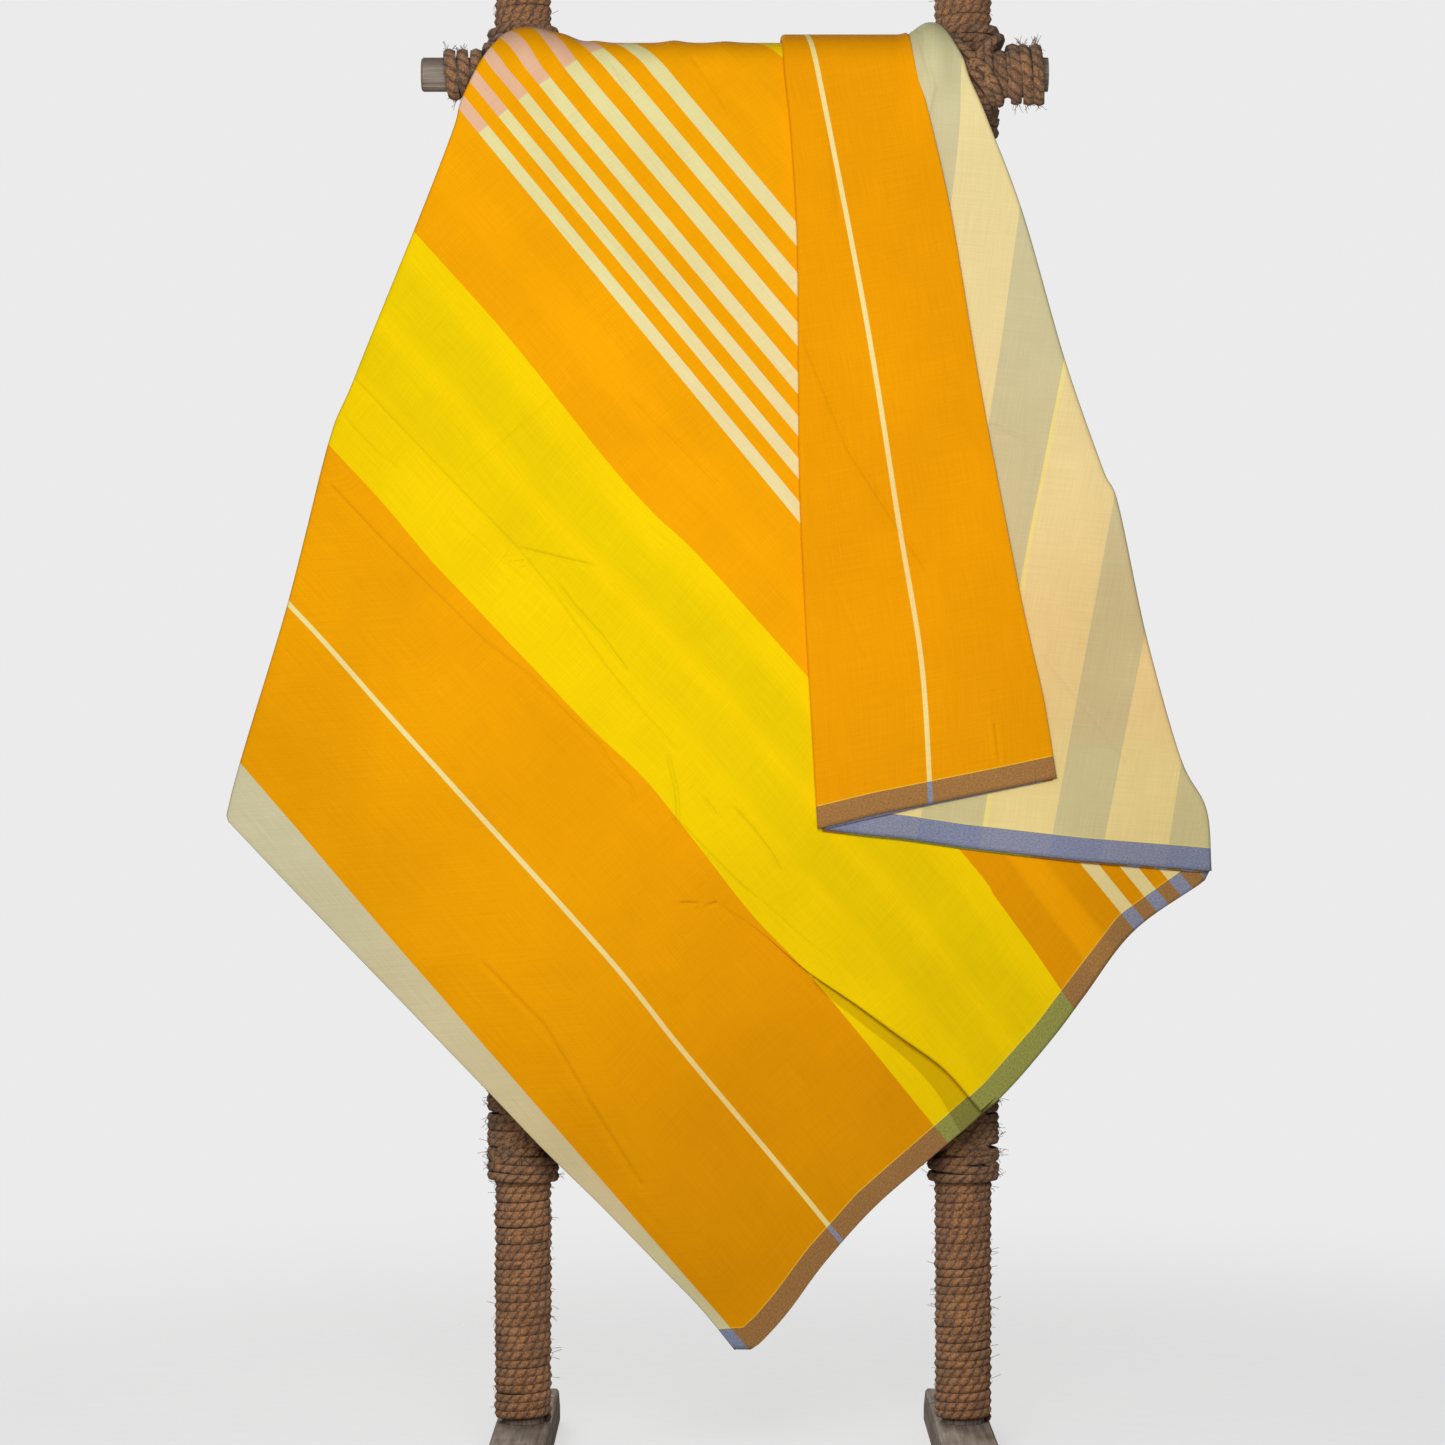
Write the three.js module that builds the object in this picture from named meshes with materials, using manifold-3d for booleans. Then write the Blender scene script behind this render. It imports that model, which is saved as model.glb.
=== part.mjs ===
// A tube sarong folded over the top rail of a rope-wound display rack.
// Millimetres, +Z up. The front of the rack looks towards -Y.

import * as THREE from 'three';
import { mergeVertices } from 'three/addons/utils/BufferGeometryUtils.js';
import Module from 'manifold-3d';

const wasm = await Module();
wasm.setup();

// Driving sizes of the rack
const seam = 0.3;
const ropeDiameter = 6;
const postOffset = 175.5;
const postRadius = 17;
const postTop = 1236;
const postWindingTop = 1224;
const railRadius = 13.5;
const railY = -43;
const railHeight = 1100;
const railLeftEnd = -253;
const railRightEnd = 241;
const railWindingLeftEnd = -239;
const lowerRailHeight = 269;
const footHeight = 32;
const footWidth = 44;
const footHalfLength = 180;
const lashingHalfHeight = 44;
const lashingHalfWidth = 18;
const roundSides = 20;

const postWindingRadius = postRadius + ropeDiameter;
const railWindingRadius = railRadius + ropeDiameter;
const lashingRadius = postWindingRadius + ropeDiameter;
const railLashingRadius = railWindingRadius + ropeDiameter + 0.2;
const lashingEnd = 1.5;

// Driving sizes of the cloth. Layer 0 lies against the rail and the flap is the outermost layer.
// A layer over a raised hem stands off by the hem's relief too.
const wall = 1.05;
const layerStep = wall + seam;
const rollRadius = railWindingRadius + seam + 0.2;
const shoulderLift = railLashingRadius - railWindingRadius + 0.1;
const shoulderStart = 120;
const shoulderRun = 24;
const shoulderDrop = 60;
const hemWidth = 17;
const hemRelief = 0.5;

const layers = {
  turnedOuter: 0,
  turnedInner: 1,
  back: 2,
  front: 3,
  foldUnder: 4.4,
  palePanel: 5.4,
  flapUnder: 6.8,
  flap: 7.8,
};

const finishes = {
  orange: { color: 0xe89a08, roughness: 0.85 },
  yellow: { color: 0xf2d408, roughness: 0.85 },
  pale: { color: 0xe9d7a4, roughness: 0.85 },
  greige: { color: 0xc6bd98, roughness: 0.85 },
  rope: { color: 0x7a5638, roughness: 0.95 },
  timber: { color: 0x8d8072, roughness: 0.8 },
};

const rack = new THREE.Group();

// Smooth step from 0 to 1 as value goes from 0 to 1.
function ease(value) {
  const held = Math.min(1, Math.max(0, value));
  return held * held * (3 - 2 * held);
}

// One closed body from points and triangles, turned so that its faces point outwards.
function closedGeometry(points, triangles) {
  let volume = 0;
  for (const [a, b, c] of triangles) {
    const [p, q, r] = [points[a], points[b], points[c]];
    volume += p[0] * (q[1] * r[2] - q[2] * r[1]);
    volume += p[1] * (q[2] * r[0] - q[0] * r[2]);
    volume += p[2] * (q[0] * r[1] - q[1] * r[0]);
  }
  const ordered = volume < 0 ? triangles.map(([a, b, c]) => [a, c, b]) : triangles;
  const geometry = new THREE.BufferGeometry();
  geometry.setAttribute('position', new THREE.Float32BufferAttribute(points.flat(), 3));
  geometry.setIndex(ordered.flat());
  return geometry;
}

// The same closed body from one of the library's shapes, with its shared points merged.
function mergedGeometry(shape) {
  const bare = shape.clone();
  bare.deleteAttribute('normal');
  bare.deleteAttribute('uv');
  const merged = mergeVertices(bare, 1e-3);
  const positions = merged.getAttribute('position');
  const points = [];
  for (let i = 0; i < positions.count; i += 1) {
    points.push([positions.getX(i), positions.getY(i), positions.getZ(i)]);
  }
  const corners = merged.getIndex().array;
  const triangles = [];
  for (let i = 0; i < corners.length; i += 3) {
    const [a, b, c] = [corners[i], corners[i + 1], corners[i + 2]];
    if (a !== b && b !== c && a !== c) {
      triangles.push([a, b, c]);
    }
  }
  return closedGeometry(points, triangles);
}

function toSolid(shape) {
  const geometry = mergedGeometry(shape);
  return new wasm.Manifold(new wasm.Mesh({
    numProp: 3,
    vertProperties: new Float32Array(geometry.getAttribute('position').array),
    triVerts: new Uint32Array(geometry.getIndex().array),
  }));
}

function fromSolid(solid) {
  const mesh = solid.getMesh();
  const geometry = new THREE.BufferGeometry();
  geometry.setAttribute('position', new THREE.BufferAttribute(mesh.vertProperties, 3));
  geometry.setIndex(new THREE.BufferAttribute(mesh.triVerts, 1));
  return geometry;
}

function addPiece(name, geometry, finish) {
  const material = new THREE.MeshStandardMaterial({ ...finishes[finish], metalness: 0 });
  const mesh = new THREE.Mesh(geometry, material);
  mesh.name = name;
  rack.add(mesh);
}

// A turned shape along Z or X, from a profile of [radius, distance along the axis].
function turned(profile, alongX) {
  const shape = new THREE.LatheGeometry(profile.map(([r, h]) => new THREE.Vector2(r, h)), roundSides);
  shape.rotateX(Math.PI / 2);
  if (alongX) {
    shape.rotateY(Math.PI / 2);
  }
  return shape;
}

function turnedRing(inner, outerProfile, alongX) {
  const first = outerProfile[0][1];
  const last = outerProfile[outerProfile.length - 1][1];
  const ring = [[inner, first], ...outerProfile, [inner, last], [inner, first]];
  return turned(ring, alongX);
}

// The posts: round timber with a softly domed top, standing on the feet.
const postFoot = footHeight + seam;
function postCore() {
  const dome = 5;
  return turned([
    [0, postFoot],
    [postRadius, postFoot],
    [postRadius, postTop - dome],
    [postRadius - dome / 2, postTop - dome / 4],
    [0, postTop],
  ], false);
}

// The rope winding on a post: a sleeve one rope thick from the foot to just under the top.
function postWinding() {
  return turnedRing(postRadius + seam, [
    [postWindingRadius, postFoot],
    [postWindingRadius, postWindingTop],
  ], false);
}

for (const [side, sign] of [['left', -1], ['right', 1]]) {
  const core = mergedGeometry(postCore());
  core.translate(sign * postOffset, 0, 0);
  addPiece(`${side}_post`, core, 'timber');
  const winding = mergedGeometry(postWinding());
  winding.translate(sign * postOffset, 0, 0);
  addPiece(`${side}_post_winding`, winding, 'rope');
}

// The top rail lies in front of the posts. Its left end is bare and its right end is wound thick.
const leftTurnsRadius = railWindingRadius + 1.5;
const rightTurnsRadius = railWindingRadius + 5;
const turnsSlope = 3;
const railEndBevel = 1.5;
const topRail = turned([
  [0, railLeftEnd],
  [railRadius - railEndBevel, railLeftEnd],
  [railRadius, railLeftEnd + railEndBevel],
  [railRadius, railRightEnd - railEndBevel],
  [0, railRightEnd - railEndBevel],
], true);
topRail.translate(0, railY, railHeight);
addPiece('top_rail', mergedGeometry(topRail), 'timber');

const leftTurnsEnd = -199;
const rightTurnsStart = 205;
const topWinding = turnedRing(railRadius + seam, [
  [leftTurnsRadius, railWindingLeftEnd],
  [leftTurnsRadius, leftTurnsEnd - turnsSlope],
  [railWindingRadius, leftTurnsEnd],
  [railWindingRadius, rightTurnsStart],
  [rightTurnsRadius, rightTurnsStart + turnsSlope],
  [rightTurnsRadius, railRightEnd],
], true);
topWinding.translate(0, railY, railHeight);
addPiece('top_rail_winding', mergedGeometry(topWinding), 'rope');

// The lower rail runs between the posts and butts against their windings.
const lowerRailEnd = postOffset - postWindingRadius - seam;
const lowerRail = turned([
  [0, -lowerRailEnd],
  [railRadius, -lowerRailEnd],
  [railRadius, lowerRailEnd],
  [0, lowerRailEnd],
], true);
lowerRail.translate(0, 0, lowerRailHeight);
addPiece('lower_rail', mergedGeometry(lowerRail), 'timber');
const lowerWinding = turnedRing(railRadius + seam, [
  [railWindingRadius, -lowerRailEnd],
  [railWindingRadius, lowerRailEnd],
], true);
lowerWinding.translate(0, 0, lowerRailHeight);
addPiece('lower_rail_winding', mergedGeometry(lowerWinding), 'rope');

// A lashing's turns round the post, as a collar with rounded ends.
function postCollar(height) {
  const round = 5;
  const inner = postWindingRadius + seam;
  return turnedRing(inner, [
    [inner + lashingEnd, height - lashingHalfHeight],
    [lashingRadius, height - lashingHalfHeight + round],
    [lashingRadius, height + lashingHalfHeight - round],
    [inner + lashingEnd, height + lashingHalfHeight],
  ], false);
}

// A lashing's turns round the rail, as a collar with rounded ends.
function railCollar(outer, start, end) {
  const round = 4;
  const inner = railWindingRadius + seam;
  return turnedRing(inner, [
    [inner + lashingEnd, start],
    [outer, start + round],
    [outer, end - round],
    [inner + lashingEnd, end],
  ], true);
}

const clearPost = turned([
  [0, 0],
  [postWindingRadius + seam, 0],
  [postWindingRadius + seam, postTop],
  [0, postTop],
], false);
const clearRailLength = 300;
const clearRail = turned([
  [0, -clearRailLength],
  [railWindingRadius + seam, -clearRailLength],
  [railWindingRadius + seam, clearRailLength],
  [0, clearRailLength],
], true);

for (const [side, sign] of [['left', -1], ['right', 1]]) {
  const post = clearPost.clone();
  post.translate(sign * postOffset, 0, 0);
  const postTurns = postCollar(railHeight);
  postTurns.translate(sign * postOffset, 0, 0);
  const railTurns = railCollar(railLashingRadius, -lashingHalfWidth, lashingHalfWidth);
  railTurns.translate(sign * postOffset, railY, railHeight);
  const rail = clearRail.clone();
  rail.translate(0, railY, railHeight);
  const lashing = toSolid(postTurns).add(toSolid(railTurns))
    .subtract(toSolid(post)).subtract(toSolid(rail));
  addPiece(`${side}_top_lashing`, fromSolid(lashing), 'rope');
}

const lowerTurnsWidth = 24;
for (const [side, sign] of [['left', -1], ['right', 1]]) {
  const post = clearPost.clone();
  post.translate(sign * postOffset, 0, 0);
  const postTurns = postCollar(lowerRailHeight);
  postTurns.translate(sign * postOffset, 0, 0);
  const nearPost = sign * (lowerRailEnd - 1);
  const away = nearPost - sign * lowerTurnsWidth;
  const start = Math.min(nearPost, away);
  const railTurns = railCollar(railLashingRadius, start, start + lowerTurnsWidth);
  railTurns.translate(0, 0, lowerRailHeight);
  const rail = clearRail.clone();
  rail.translate(0, 0, lowerRailHeight);
  const lashing = toSolid(postTurns).add(toSolid(railTurns))
    .subtract(toSolid(post)).subtract(toSolid(rail));
  addPiece(`${side}_lower_lashing`, fromSolid(lashing), 'rope');
}

// The feet: timber skids from front to back, flat below, with their ends sloped on top.
const footSlope = 26;
const footEndHeight = 14;
const footBevel = 2;
for (const [side, sign] of [['left', -1], ['right', 1]]) {
  const outline = new THREE.Shape([
    new THREE.Vector2(-footHalfLength, 0),
    new THREE.Vector2(footHalfLength, 0),
    new THREE.Vector2(footHalfLength, footEndHeight),
    new THREE.Vector2(footHalfLength - footSlope, footHeight),
    new THREE.Vector2(footSlope - footHalfLength, footHeight),
    new THREE.Vector2(-footHalfLength, footEndHeight),
  ]);
  const foot = new THREE.ExtrudeGeometry(outline, {
    depth: footWidth - 2 * footBevel,
    bevelThickness: footBevel,
    bevelSize: footBevel,
    bevelOffset: -footBevel,
    bevelSegments: 1,
  });
  foot.rotateX(Math.PI / 2);
  foot.rotateZ(Math.PI / 2);
  foot.translate(sign * postOffset - footWidth / 2 + footBevel, 0, 0);
  addPiece(`${side}_foot`, mergedGeometry(foot), 'timber');
}

// How far the cloth stands off the rail's axis at x: it lifts over the lashings at the posts.
function standOff(x, z, over) {
  const lift = shoulderLift * ease((Math.abs(x) - shoulderStart) / shoulderRun);
  const fade = over > 0 ? 1 : 1 - ease((railHeight - z) / shoulderDrop);
  return rollRadius + lift * fade;
}

// The hanging front bundle: low broad folds along the stripes, and wings that fall back.
const broadFold = { height: 5, spacing: 310, phase: 0.6, acrossX: 0.757, acrossZ: 0.654 };
const leftWing = { start: -240, run: 165, back: 14 };
const rightWing = { start: 230, run: 135, back: 9 };
const swellRun = 260;
function swell(x, z) {
  const rise = ease((railHeight - shoulderDrop - z) / swellRun);
  const across = broadFold.acrossX * x + broadFold.acrossZ * z;
  const wave = 0.5 - 0.5 * Math.cos((2 * Math.PI * across) / broadFold.spacing + broadFold.phase);
  const left = leftWing.back * ease((leftWing.start - x) / leftWing.run);
  const right = rightWing.back * ease((x - rightWing.start) / rightWing.run);
  return rise * (broadFold.height * wave - left - right);
}

// A point of the cloth: x across, z up, over the degrees turned over the rail, depth from the rail.
function drape(x, z, over, depth) {
  const radius = standOff(x, z, over) + depth;
  if (over <= 0) {
    return [x, railY - radius - swell(x, z), z];
  }
  if (over < 180) {
    const angle = THREE.MathUtils.degToRad(over);
    return [x, railY - radius * Math.cos(angle), railHeight + radius * Math.sin(angle)];
  }
  return [x, railY + radius, z];
}

// Every layer is cut from the same draped form, so that the layers stay parallel. Its facets run
// between these columns across, and these levels up the front, over the rail and down the back.
const columns = [-425, -350, -290, -240, -144, -136, -128, -120, -60, 0, 60, 120, 128, 136, 144,
  230, 290, 385];
const frontBottom = 90;
const frontSpacing = 82;
const shoulderSpacing = 20;
const turnSteps = 10;
const backBottom = 620;
const backSpacing = 120;
const levels = [];
for (let z = frontBottom; z < railHeight - shoulderDrop - frontSpacing / 2; z += frontSpacing) {
  levels.push([z, 0]);
}
for (let z = railHeight - shoulderDrop; z < railHeight; z += shoulderSpacing) {
  levels.push([z, 0]);
}
for (let step = 0; step <= turnSteps; step += 1) {
  levels.push([railHeight, (180 * step) / turnSteps]);
}
for (let z = railHeight - backSpacing; z >= backBottom; z -= backSpacing) {
  levels.push([z, 180]);
}

// The whole draped form between two depths, as one closed body.
function drapedSlab(innerDepth, outerDepth) {
  const points = [];
  for (const depth of [outerDepth, innerDepth]) {
    for (const [z, over] of levels) {
      for (const x of columns) {
        points.push(drape(x, z, over, depth));
      }
    }
  }
  const across = columns.length;
  const half = levels.length * across;
  const triangles = [];
  const quad = (a, b, c, d) => triangles.push([a, b, c], [a, c, d]);
  for (let r = 0; r < levels.length - 1; r += 1) {
    for (let c = 0; c < across - 1; c += 1) {
      const a = r * across + c;
      quad(a, a + 1, a + 1 + across, a + across);
      quad(half + a, half + a + across, half + a + 1 + across, half + a + 1);
    }
    const start = r * across;
    quad(start, start + across, half + start + across, half + start);
    const end = start + across - 1;
    quad(end, half + end, half + end + across, end + across);
  }
  const top = (levels.length - 1) * across;
  for (let c = 0; c < across - 1; c += 1) {
    quad(c, half + c, half + c + 1, c + 1);
    quad(top + c, top + c + 1, half + top + c + 1, half + top + c);
  }
  return toSolid(closedGeometry(points, triangles));
}

// A straight-sided cutter: an outline of [x, z] points, seen from the front, from near to far.
function cutter(outline, near, far) {
  const shape = new THREE.Shape(outline.map(([x, z]) => new THREE.Vector2(x, z)));
  const block = new THREE.ExtrudeGeometry(shape, { depth: far - near, bevelEnabled: false });
  block.rotateX(Math.PI / 2);
  block.translate(0, far, 0);
  return toSolid(block);
}

// Cloth in front of the top of the rail, or behind it, inside an outline. It spans its layers, from
// the inner one to the outer one.
const farFront = -200;
const farBack = 100;
const nearCrown = 0.15;
function clothBetween(outline, innerLayer, outerLayer, behind) {
  const near = behind ? railY + nearCrown : farFront;
  const far = behind ? farBack : railY - nearCrown;
  const slab = drapedSlab(innerLayer * layerStep, outerLayer * layerStep + wall);
  return slab.intersect(cutter(outline, near, far));
}

// One layer in front of the rail.
function frontLayer(outline, layer) {
  return clothBetween(outline, layer, layer, false);
}

// One layer behind the rail.
function backLayer(outline, layer) {
  return clothBetween(outline, layer, layer, true);
}

// One layer in front of the rail with a raised hem, where the cloth is turned twice.
function hemmedLayer(outline, hem, layer) {
  const slab = drapedSlab(layer * layerStep, layer * layerStep + wall + hemRelief);
  const band = slab.intersect(cutter(strip(hem, 0, -hemWidth), farFront, railY - nearCrown))
    .intersect(cutter(outline, farFront, 0));
  return frontLayer(outline, layer).add(band);
}

// A line moved sideways by a distance, to its right as it goes.
function besideLine(line, distance) {
  return line.map(([x, z], i) => {
    const [ax, az] = line[Math.max(0, i - 1)];
    const [bx, bz] = line[Math.min(line.length - 1, i + 1)];
    const length = Math.hypot(bx - ax, bz - az);
    return [x + (distance * (bz - az)) / length, z - (distance * (bx - ax)) / length];
  });
}

// The outline of a strip beside a line, between two distances to its right.
function strip(line, from, to) {
  return [...besideLine(line, from), ...besideLine(line, to).reverse()];
}

// The lines that the folds and hems follow, seen from the front, each from its low end up.
const aboveRail = 1160;
const lowerLeftFold = [[-6, 101], [-34, 135], [-65, 167], [-112, 215], [-155, 257], [-198, 302],
  [-252, 358], [-307, 414], [-358, 466], [-404, 514]];
const leftFold = [[-404, 514], [-393, 557], [-355, 682], [-323, 808], [-303, 857], [-256, 972],
  [-225, 1052], [-219, 1073], [-206, 1100], [-193, 1119], [-184, 1132], [-173, 1146],
  [-165, aboveRail]];
const frontHem = [[-6, 101], [7, 102], [22, 116], [38, 135], [63, 169], [100, 210], [147, 251],
  [200, 297], [241, 344], [266, 377], [305, 427], [361, 466]];
const rightFold = [[366, 476], [360, 522], [340, 561], [313, 655], [290, 760], [278, 787],
  [248, 873], [216, 986], [188, 1060], [174, 1091], [169, 1106], [161, 1121], [149, 1146],
  [143, aboveRail]];
const flapLeftFold = [[60, 508], [55, 592], [50, 680], [46, 770], [45, 860], [44, 967], [39, 1052],
  [34, 1100], [32, aboveRail]];
const flapRightFold = [[243, 547], [233, 608], [219, 670], [200, 764], [181, 865], [161, 986],
  [144, 1062], [133, 1100], [128, 1130], [127, aboveRail]];
const flapHem = [[60, 508], [150, 528], [243, 547]];
const flapUnderHem = [[66, 505], [241, 543]];
const paleHem = [[60, 507], [150, 500], [260, 489], [363, 475]];
const turnedHem = [[125, 623], [113, 670], [99, 779], [82, 891], [76, 985], [73, 1052],
  [71, aboveRail]];
const turnedFold = [[-404, 514], [-230, 551], [-60, 588], [125, 623]];

// The folds are as wide as this, and the layers end a seam or two short of them.
const foldWidth = 2.4;
const besideRightFold = besideLine(rightFold, -2 * seam).reverse().slice(0, -1);
const besideFlapRightFold = besideLine(flapRightFold, -seam).reverse().slice(0, -1);

// The front, from its hem and lower left fold up to the rail, with its raised hem.
const frontOutline = [
  ...besideLine(lowerLeftFold, seam).slice(1, -1),
  ...besideLine(leftFold, seam),
  ...besideRightFold,
  ...[...frontHem].reverse(),
];
addPiece('front', fromSolid(hemmedLayer(frontOutline, frontHem, layers.front)), 'orange');

// The back of the tube, close behind the front, with its hem just inside the front's.
const backShorter = 2;
const backHem = besideLine(frontHem, -backShorter);
const backOutline = [
  ...besideLine(lowerLeftFold, seam).slice(1, -1),
  ...besideLine(leftFold, seam),
  ...besideRightFold,
  ...backHem.slice(1).reverse(),
];
addPiece('back', fromSolid(frontLayer(backOutline, layers.back)), 'pale');

// The part turned back behind the left fold: two layers, the inner one a little longer.
const innerLonger = 9;
const turnedOutline = [
  ...besideLine(turnedFold, -seam).slice(1),
  ...turnedHem.slice(1),
  ...besideLine(leftFold, seam).reverse().slice(0, -1),
];
addPiece('turned_back', fromSolid(frontLayer(turnedOutline, layers.turnedOuter)), 'orange');
const innerOutline = [
  ...besideLine(turnedFold, -seam).slice(1),
  ...besideLine(turnedHem, innerLonger),
  ...besideLine(leftFold, seam).reverse().slice(0, -1),
];
addPiece('turned_back_inner', fromSolid(frontLayer(innerOutline, layers.turnedInner)), 'pale');

// The layer folded under the pale panel, between the right fold and the flap's left fold.
const underLonger = 5;
const underHem = paleHem.map(([x, z]) => [x, z - underLonger]);
const underOutline = [
  ...besideLine(flapLeftFold, seam),
  ...besideRightFold,
  ...[...underHem].reverse().slice(1),
];
addPiece('fold_under', fromSolid(frontLayer(underOutline, layers.foldUnder)), 'orange');

// The pale panel on the right, hemmed below.
const besideFlapFold = 3;
const paleOutline = [
  ...besideLine(flapLeftFold, besideFlapFold),
  ...besideLine(rightFold, -seam).reverse().slice(0, -1),
  ...[...paleHem].reverse(),
];
addPiece('pale_panel', fromSolid(hemmedLayer(paleOutline, paleHem, layers.palePanel)), 'pale');

// The flap and the layer that it doubles: together they hang free over the pale panel.
const insideFlapFold = 4;
const flapUnderOutline = [
  ...besideLine(flapLeftFold, insideFlapFold).slice(1),
  ...besideFlapRightFold,
  ...[...flapUnderHem].reverse(),
];
addPiece('flap_under', fromSolid(frontLayer(flapUnderOutline, layers.flapUnder)), 'greige');
const flapOutline = [
  ...besideLine(flapLeftFold, seam).slice(1),
  ...besideFlapRightFold,
  ...[...flapHem].reverse(),
];
addPiece('flap', fromSolid(hemmedLayer(flapOutline, flapHem, layers.flap)), 'orange');

// The pleat at the front's hem: a narrow tongue of doubled cloth that opens downwards. It lies on
// the front and its raised hem.
const pleatLip = [[-10, 443], [13, 427], [43, 403], [70, 385], [95, 367], [124, 343], [154, 319],
  [180, 298], [188, 291]];
const pleatTop = [[-4, 449], [46, 437], [114, 395], [170, 357], [201, 331], [212, 318]];
const pleatOutline = [...pleatLip, ...[...pleatTop].reverse()];
addPiece('hem_pleat', fromSolid(frontLayer(pleatOutline, layers.foldUnder)), 'yellow');

// The folded edges, each a strip as thick as the layers that it joins.
const toLeft = -foldWidth;
const toRight = foldWidth;
function addFold(name, line, width, innerLayer, outerLayer, finish) {
  const outline = strip(line, 0, width);
  addPiece(name, fromSolid(clothBetween(outline, innerLayer, outerLayer, false)), finish);
}

addFold('left_fold', leftFold, toLeft, layers.turnedOuter, layers.front, 'orange');
addFold('lower_left_fold', lowerLeftFold, toLeft, layers.back, layers.front, 'greige');
addFold('right_fold', rightFold, toRight, layers.back, layers.palePanel, 'pale');
addFold('flap_left_fold', flapLeftFold, toLeft, layers.foldUnder, layers.flap, 'orange');
addFold('flap_right_fold', flapRightFold, toRight, layers.flapUnder, layers.flap, 'orange');

// The drop behind the rail: the bundle passes between the posts and narrows downwards.
const dropFront = [[-138, aboveRail], [-135, 1100], [-110, 1000], [-76, 900], [-42, 800], [-12, 712],
  [6, 662], [66, 646], [74, 700], [84, 800], [98, 900], [118, 1000], [135, 1100], [138, aboveRail]];
addPiece('drop_front', fromSolid(backLayer(dropFront, layers.front)), 'orange');
const dropBack = [[-133, aboveRail], [-130, 1100], [-105, 1000], [-71, 900], [-37, 800], [-7, 725],
  [70, 708], [79, 800], [93, 900], [113, 1000], [130, 1100], [133, aboveRail]];
addPiece('drop_back', fromSolid(backLayer(dropBack, layers.back)), 'pale');
const dropPale = [[37, aboveRail], [34, 1100], [30, 1000], [27, 900], [26, 800], [26, 737], [77, 722],
  [85, 800], [99, 900], [119, 1000], [136, 1100], [138, aboveRail]];
addPiece('drop_pale', fromSolid(backLayer(dropPale, layers.palePanel)), 'pale');
const dropFlap = [[32, aboveRail], [30, 1100], [27, 1000], [24, 900], [21, 800], [18, 700], [17, 650],
  [60, 634], [64, 700], [74, 800], [88, 900], [104, 1000], [120, 1100], [126, aboveRail]];
addPiece('drop_flap', fromSolid(backLayer(dropFlap, layers.flap)), 'orange');

// The origin is on the floor under the middle of the whole.
const bounds = new THREE.Box3().setFromObject(rack);
const middle = bounds.getCenter(new THREE.Vector3());
rack.position.set(-middle.x, -middle.y, 0);
rack.updateMatrixWorld(true);

export default rack;
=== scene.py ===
import math

import bpy
import numpy as np
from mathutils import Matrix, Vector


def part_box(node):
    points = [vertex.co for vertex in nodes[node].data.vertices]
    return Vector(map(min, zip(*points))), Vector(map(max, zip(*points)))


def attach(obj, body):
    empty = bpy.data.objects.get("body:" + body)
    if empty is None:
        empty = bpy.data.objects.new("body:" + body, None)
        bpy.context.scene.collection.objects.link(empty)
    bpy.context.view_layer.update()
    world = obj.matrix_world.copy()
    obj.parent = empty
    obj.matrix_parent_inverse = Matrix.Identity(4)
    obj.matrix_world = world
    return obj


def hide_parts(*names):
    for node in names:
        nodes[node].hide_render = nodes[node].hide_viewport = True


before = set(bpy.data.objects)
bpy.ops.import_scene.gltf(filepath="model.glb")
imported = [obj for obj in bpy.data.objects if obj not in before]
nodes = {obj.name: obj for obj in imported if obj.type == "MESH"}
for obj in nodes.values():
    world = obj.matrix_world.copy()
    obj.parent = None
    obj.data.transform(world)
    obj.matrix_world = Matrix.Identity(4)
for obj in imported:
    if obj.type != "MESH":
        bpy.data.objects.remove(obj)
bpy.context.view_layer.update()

# Camera
# It stands level in front of the cloth, so that the frame's width at the cloth is the width that
# the picture shows there.
cloth_plane = -0.070
camera_distance = 3.0
view_width = 1.1271
camera_height = 0.5902
camera_shift = -0.0164
middle_x = (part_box("left_post")[0].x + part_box("right_post")[1].x) / 2
camera_data = bpy.data.cameras.new("camera")
camera_data.sensor_width = 36
camera_data.lens = camera_data.sensor_width * camera_distance / view_width
camera = bpy.data.objects.new("camera", camera_data)
camera.location = (middle_x + camera_shift, cloth_plane - camera_distance, camera_height)
camera.rotation_euler = (math.pi / 2, 0, 0)
bpy.context.scene.collection.objects.link(camera)
bpy.context.scene.camera = camera


# Floor
# A round sheet of pale studio paper under the stand. Its rim fades into the pale room.
def colour(code):
    """A colour from its six-figure code, as the shader's own linear values."""
    shown = [int(code[i:i + 2], 16) / 255 for i in (0, 2, 4)]
    linear = [c / 12.92 if c <= 0.04045 else ((c + 0.055) / 1.055) ** 2.4 for c in shown]
    return (*linear, 1.0)


def place(tree, kind, **settings):
    """Adds a node of this kind to the tree, with its settings."""
    node = tree.nodes.new(kind)
    for name, value in settings.items():
        setattr(node, name, value)
    return node


def feed(value, socket):
    """Links an output to a socket, or sets a plain value on it."""
    if isinstance(value, bpy.types.NodeSocket):
        socket.id_data.links.new(value, socket)
    else:
        socket.default_value = value


def place_after(values, kind, **settings):
    """Adds a node to the tree that the linked ones of its values come from."""
    tree = next(value.id_data for value in values if isinstance(value, bpy.types.NodeSocket))
    return place(tree, kind, **settings)


def principled(name, **plain):
    """A new material, its node tree and its shader, with plain values set on the shader."""
    material = bpy.data.materials.new(name)
    material.use_nodes = True
    tree = material.node_tree
    shader = tree.nodes["Principled BSDF"]
    for socket, value in plain.items():
        shader.inputs[socket.replace("_", " ")].default_value = value
    return material, tree, shader


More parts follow.
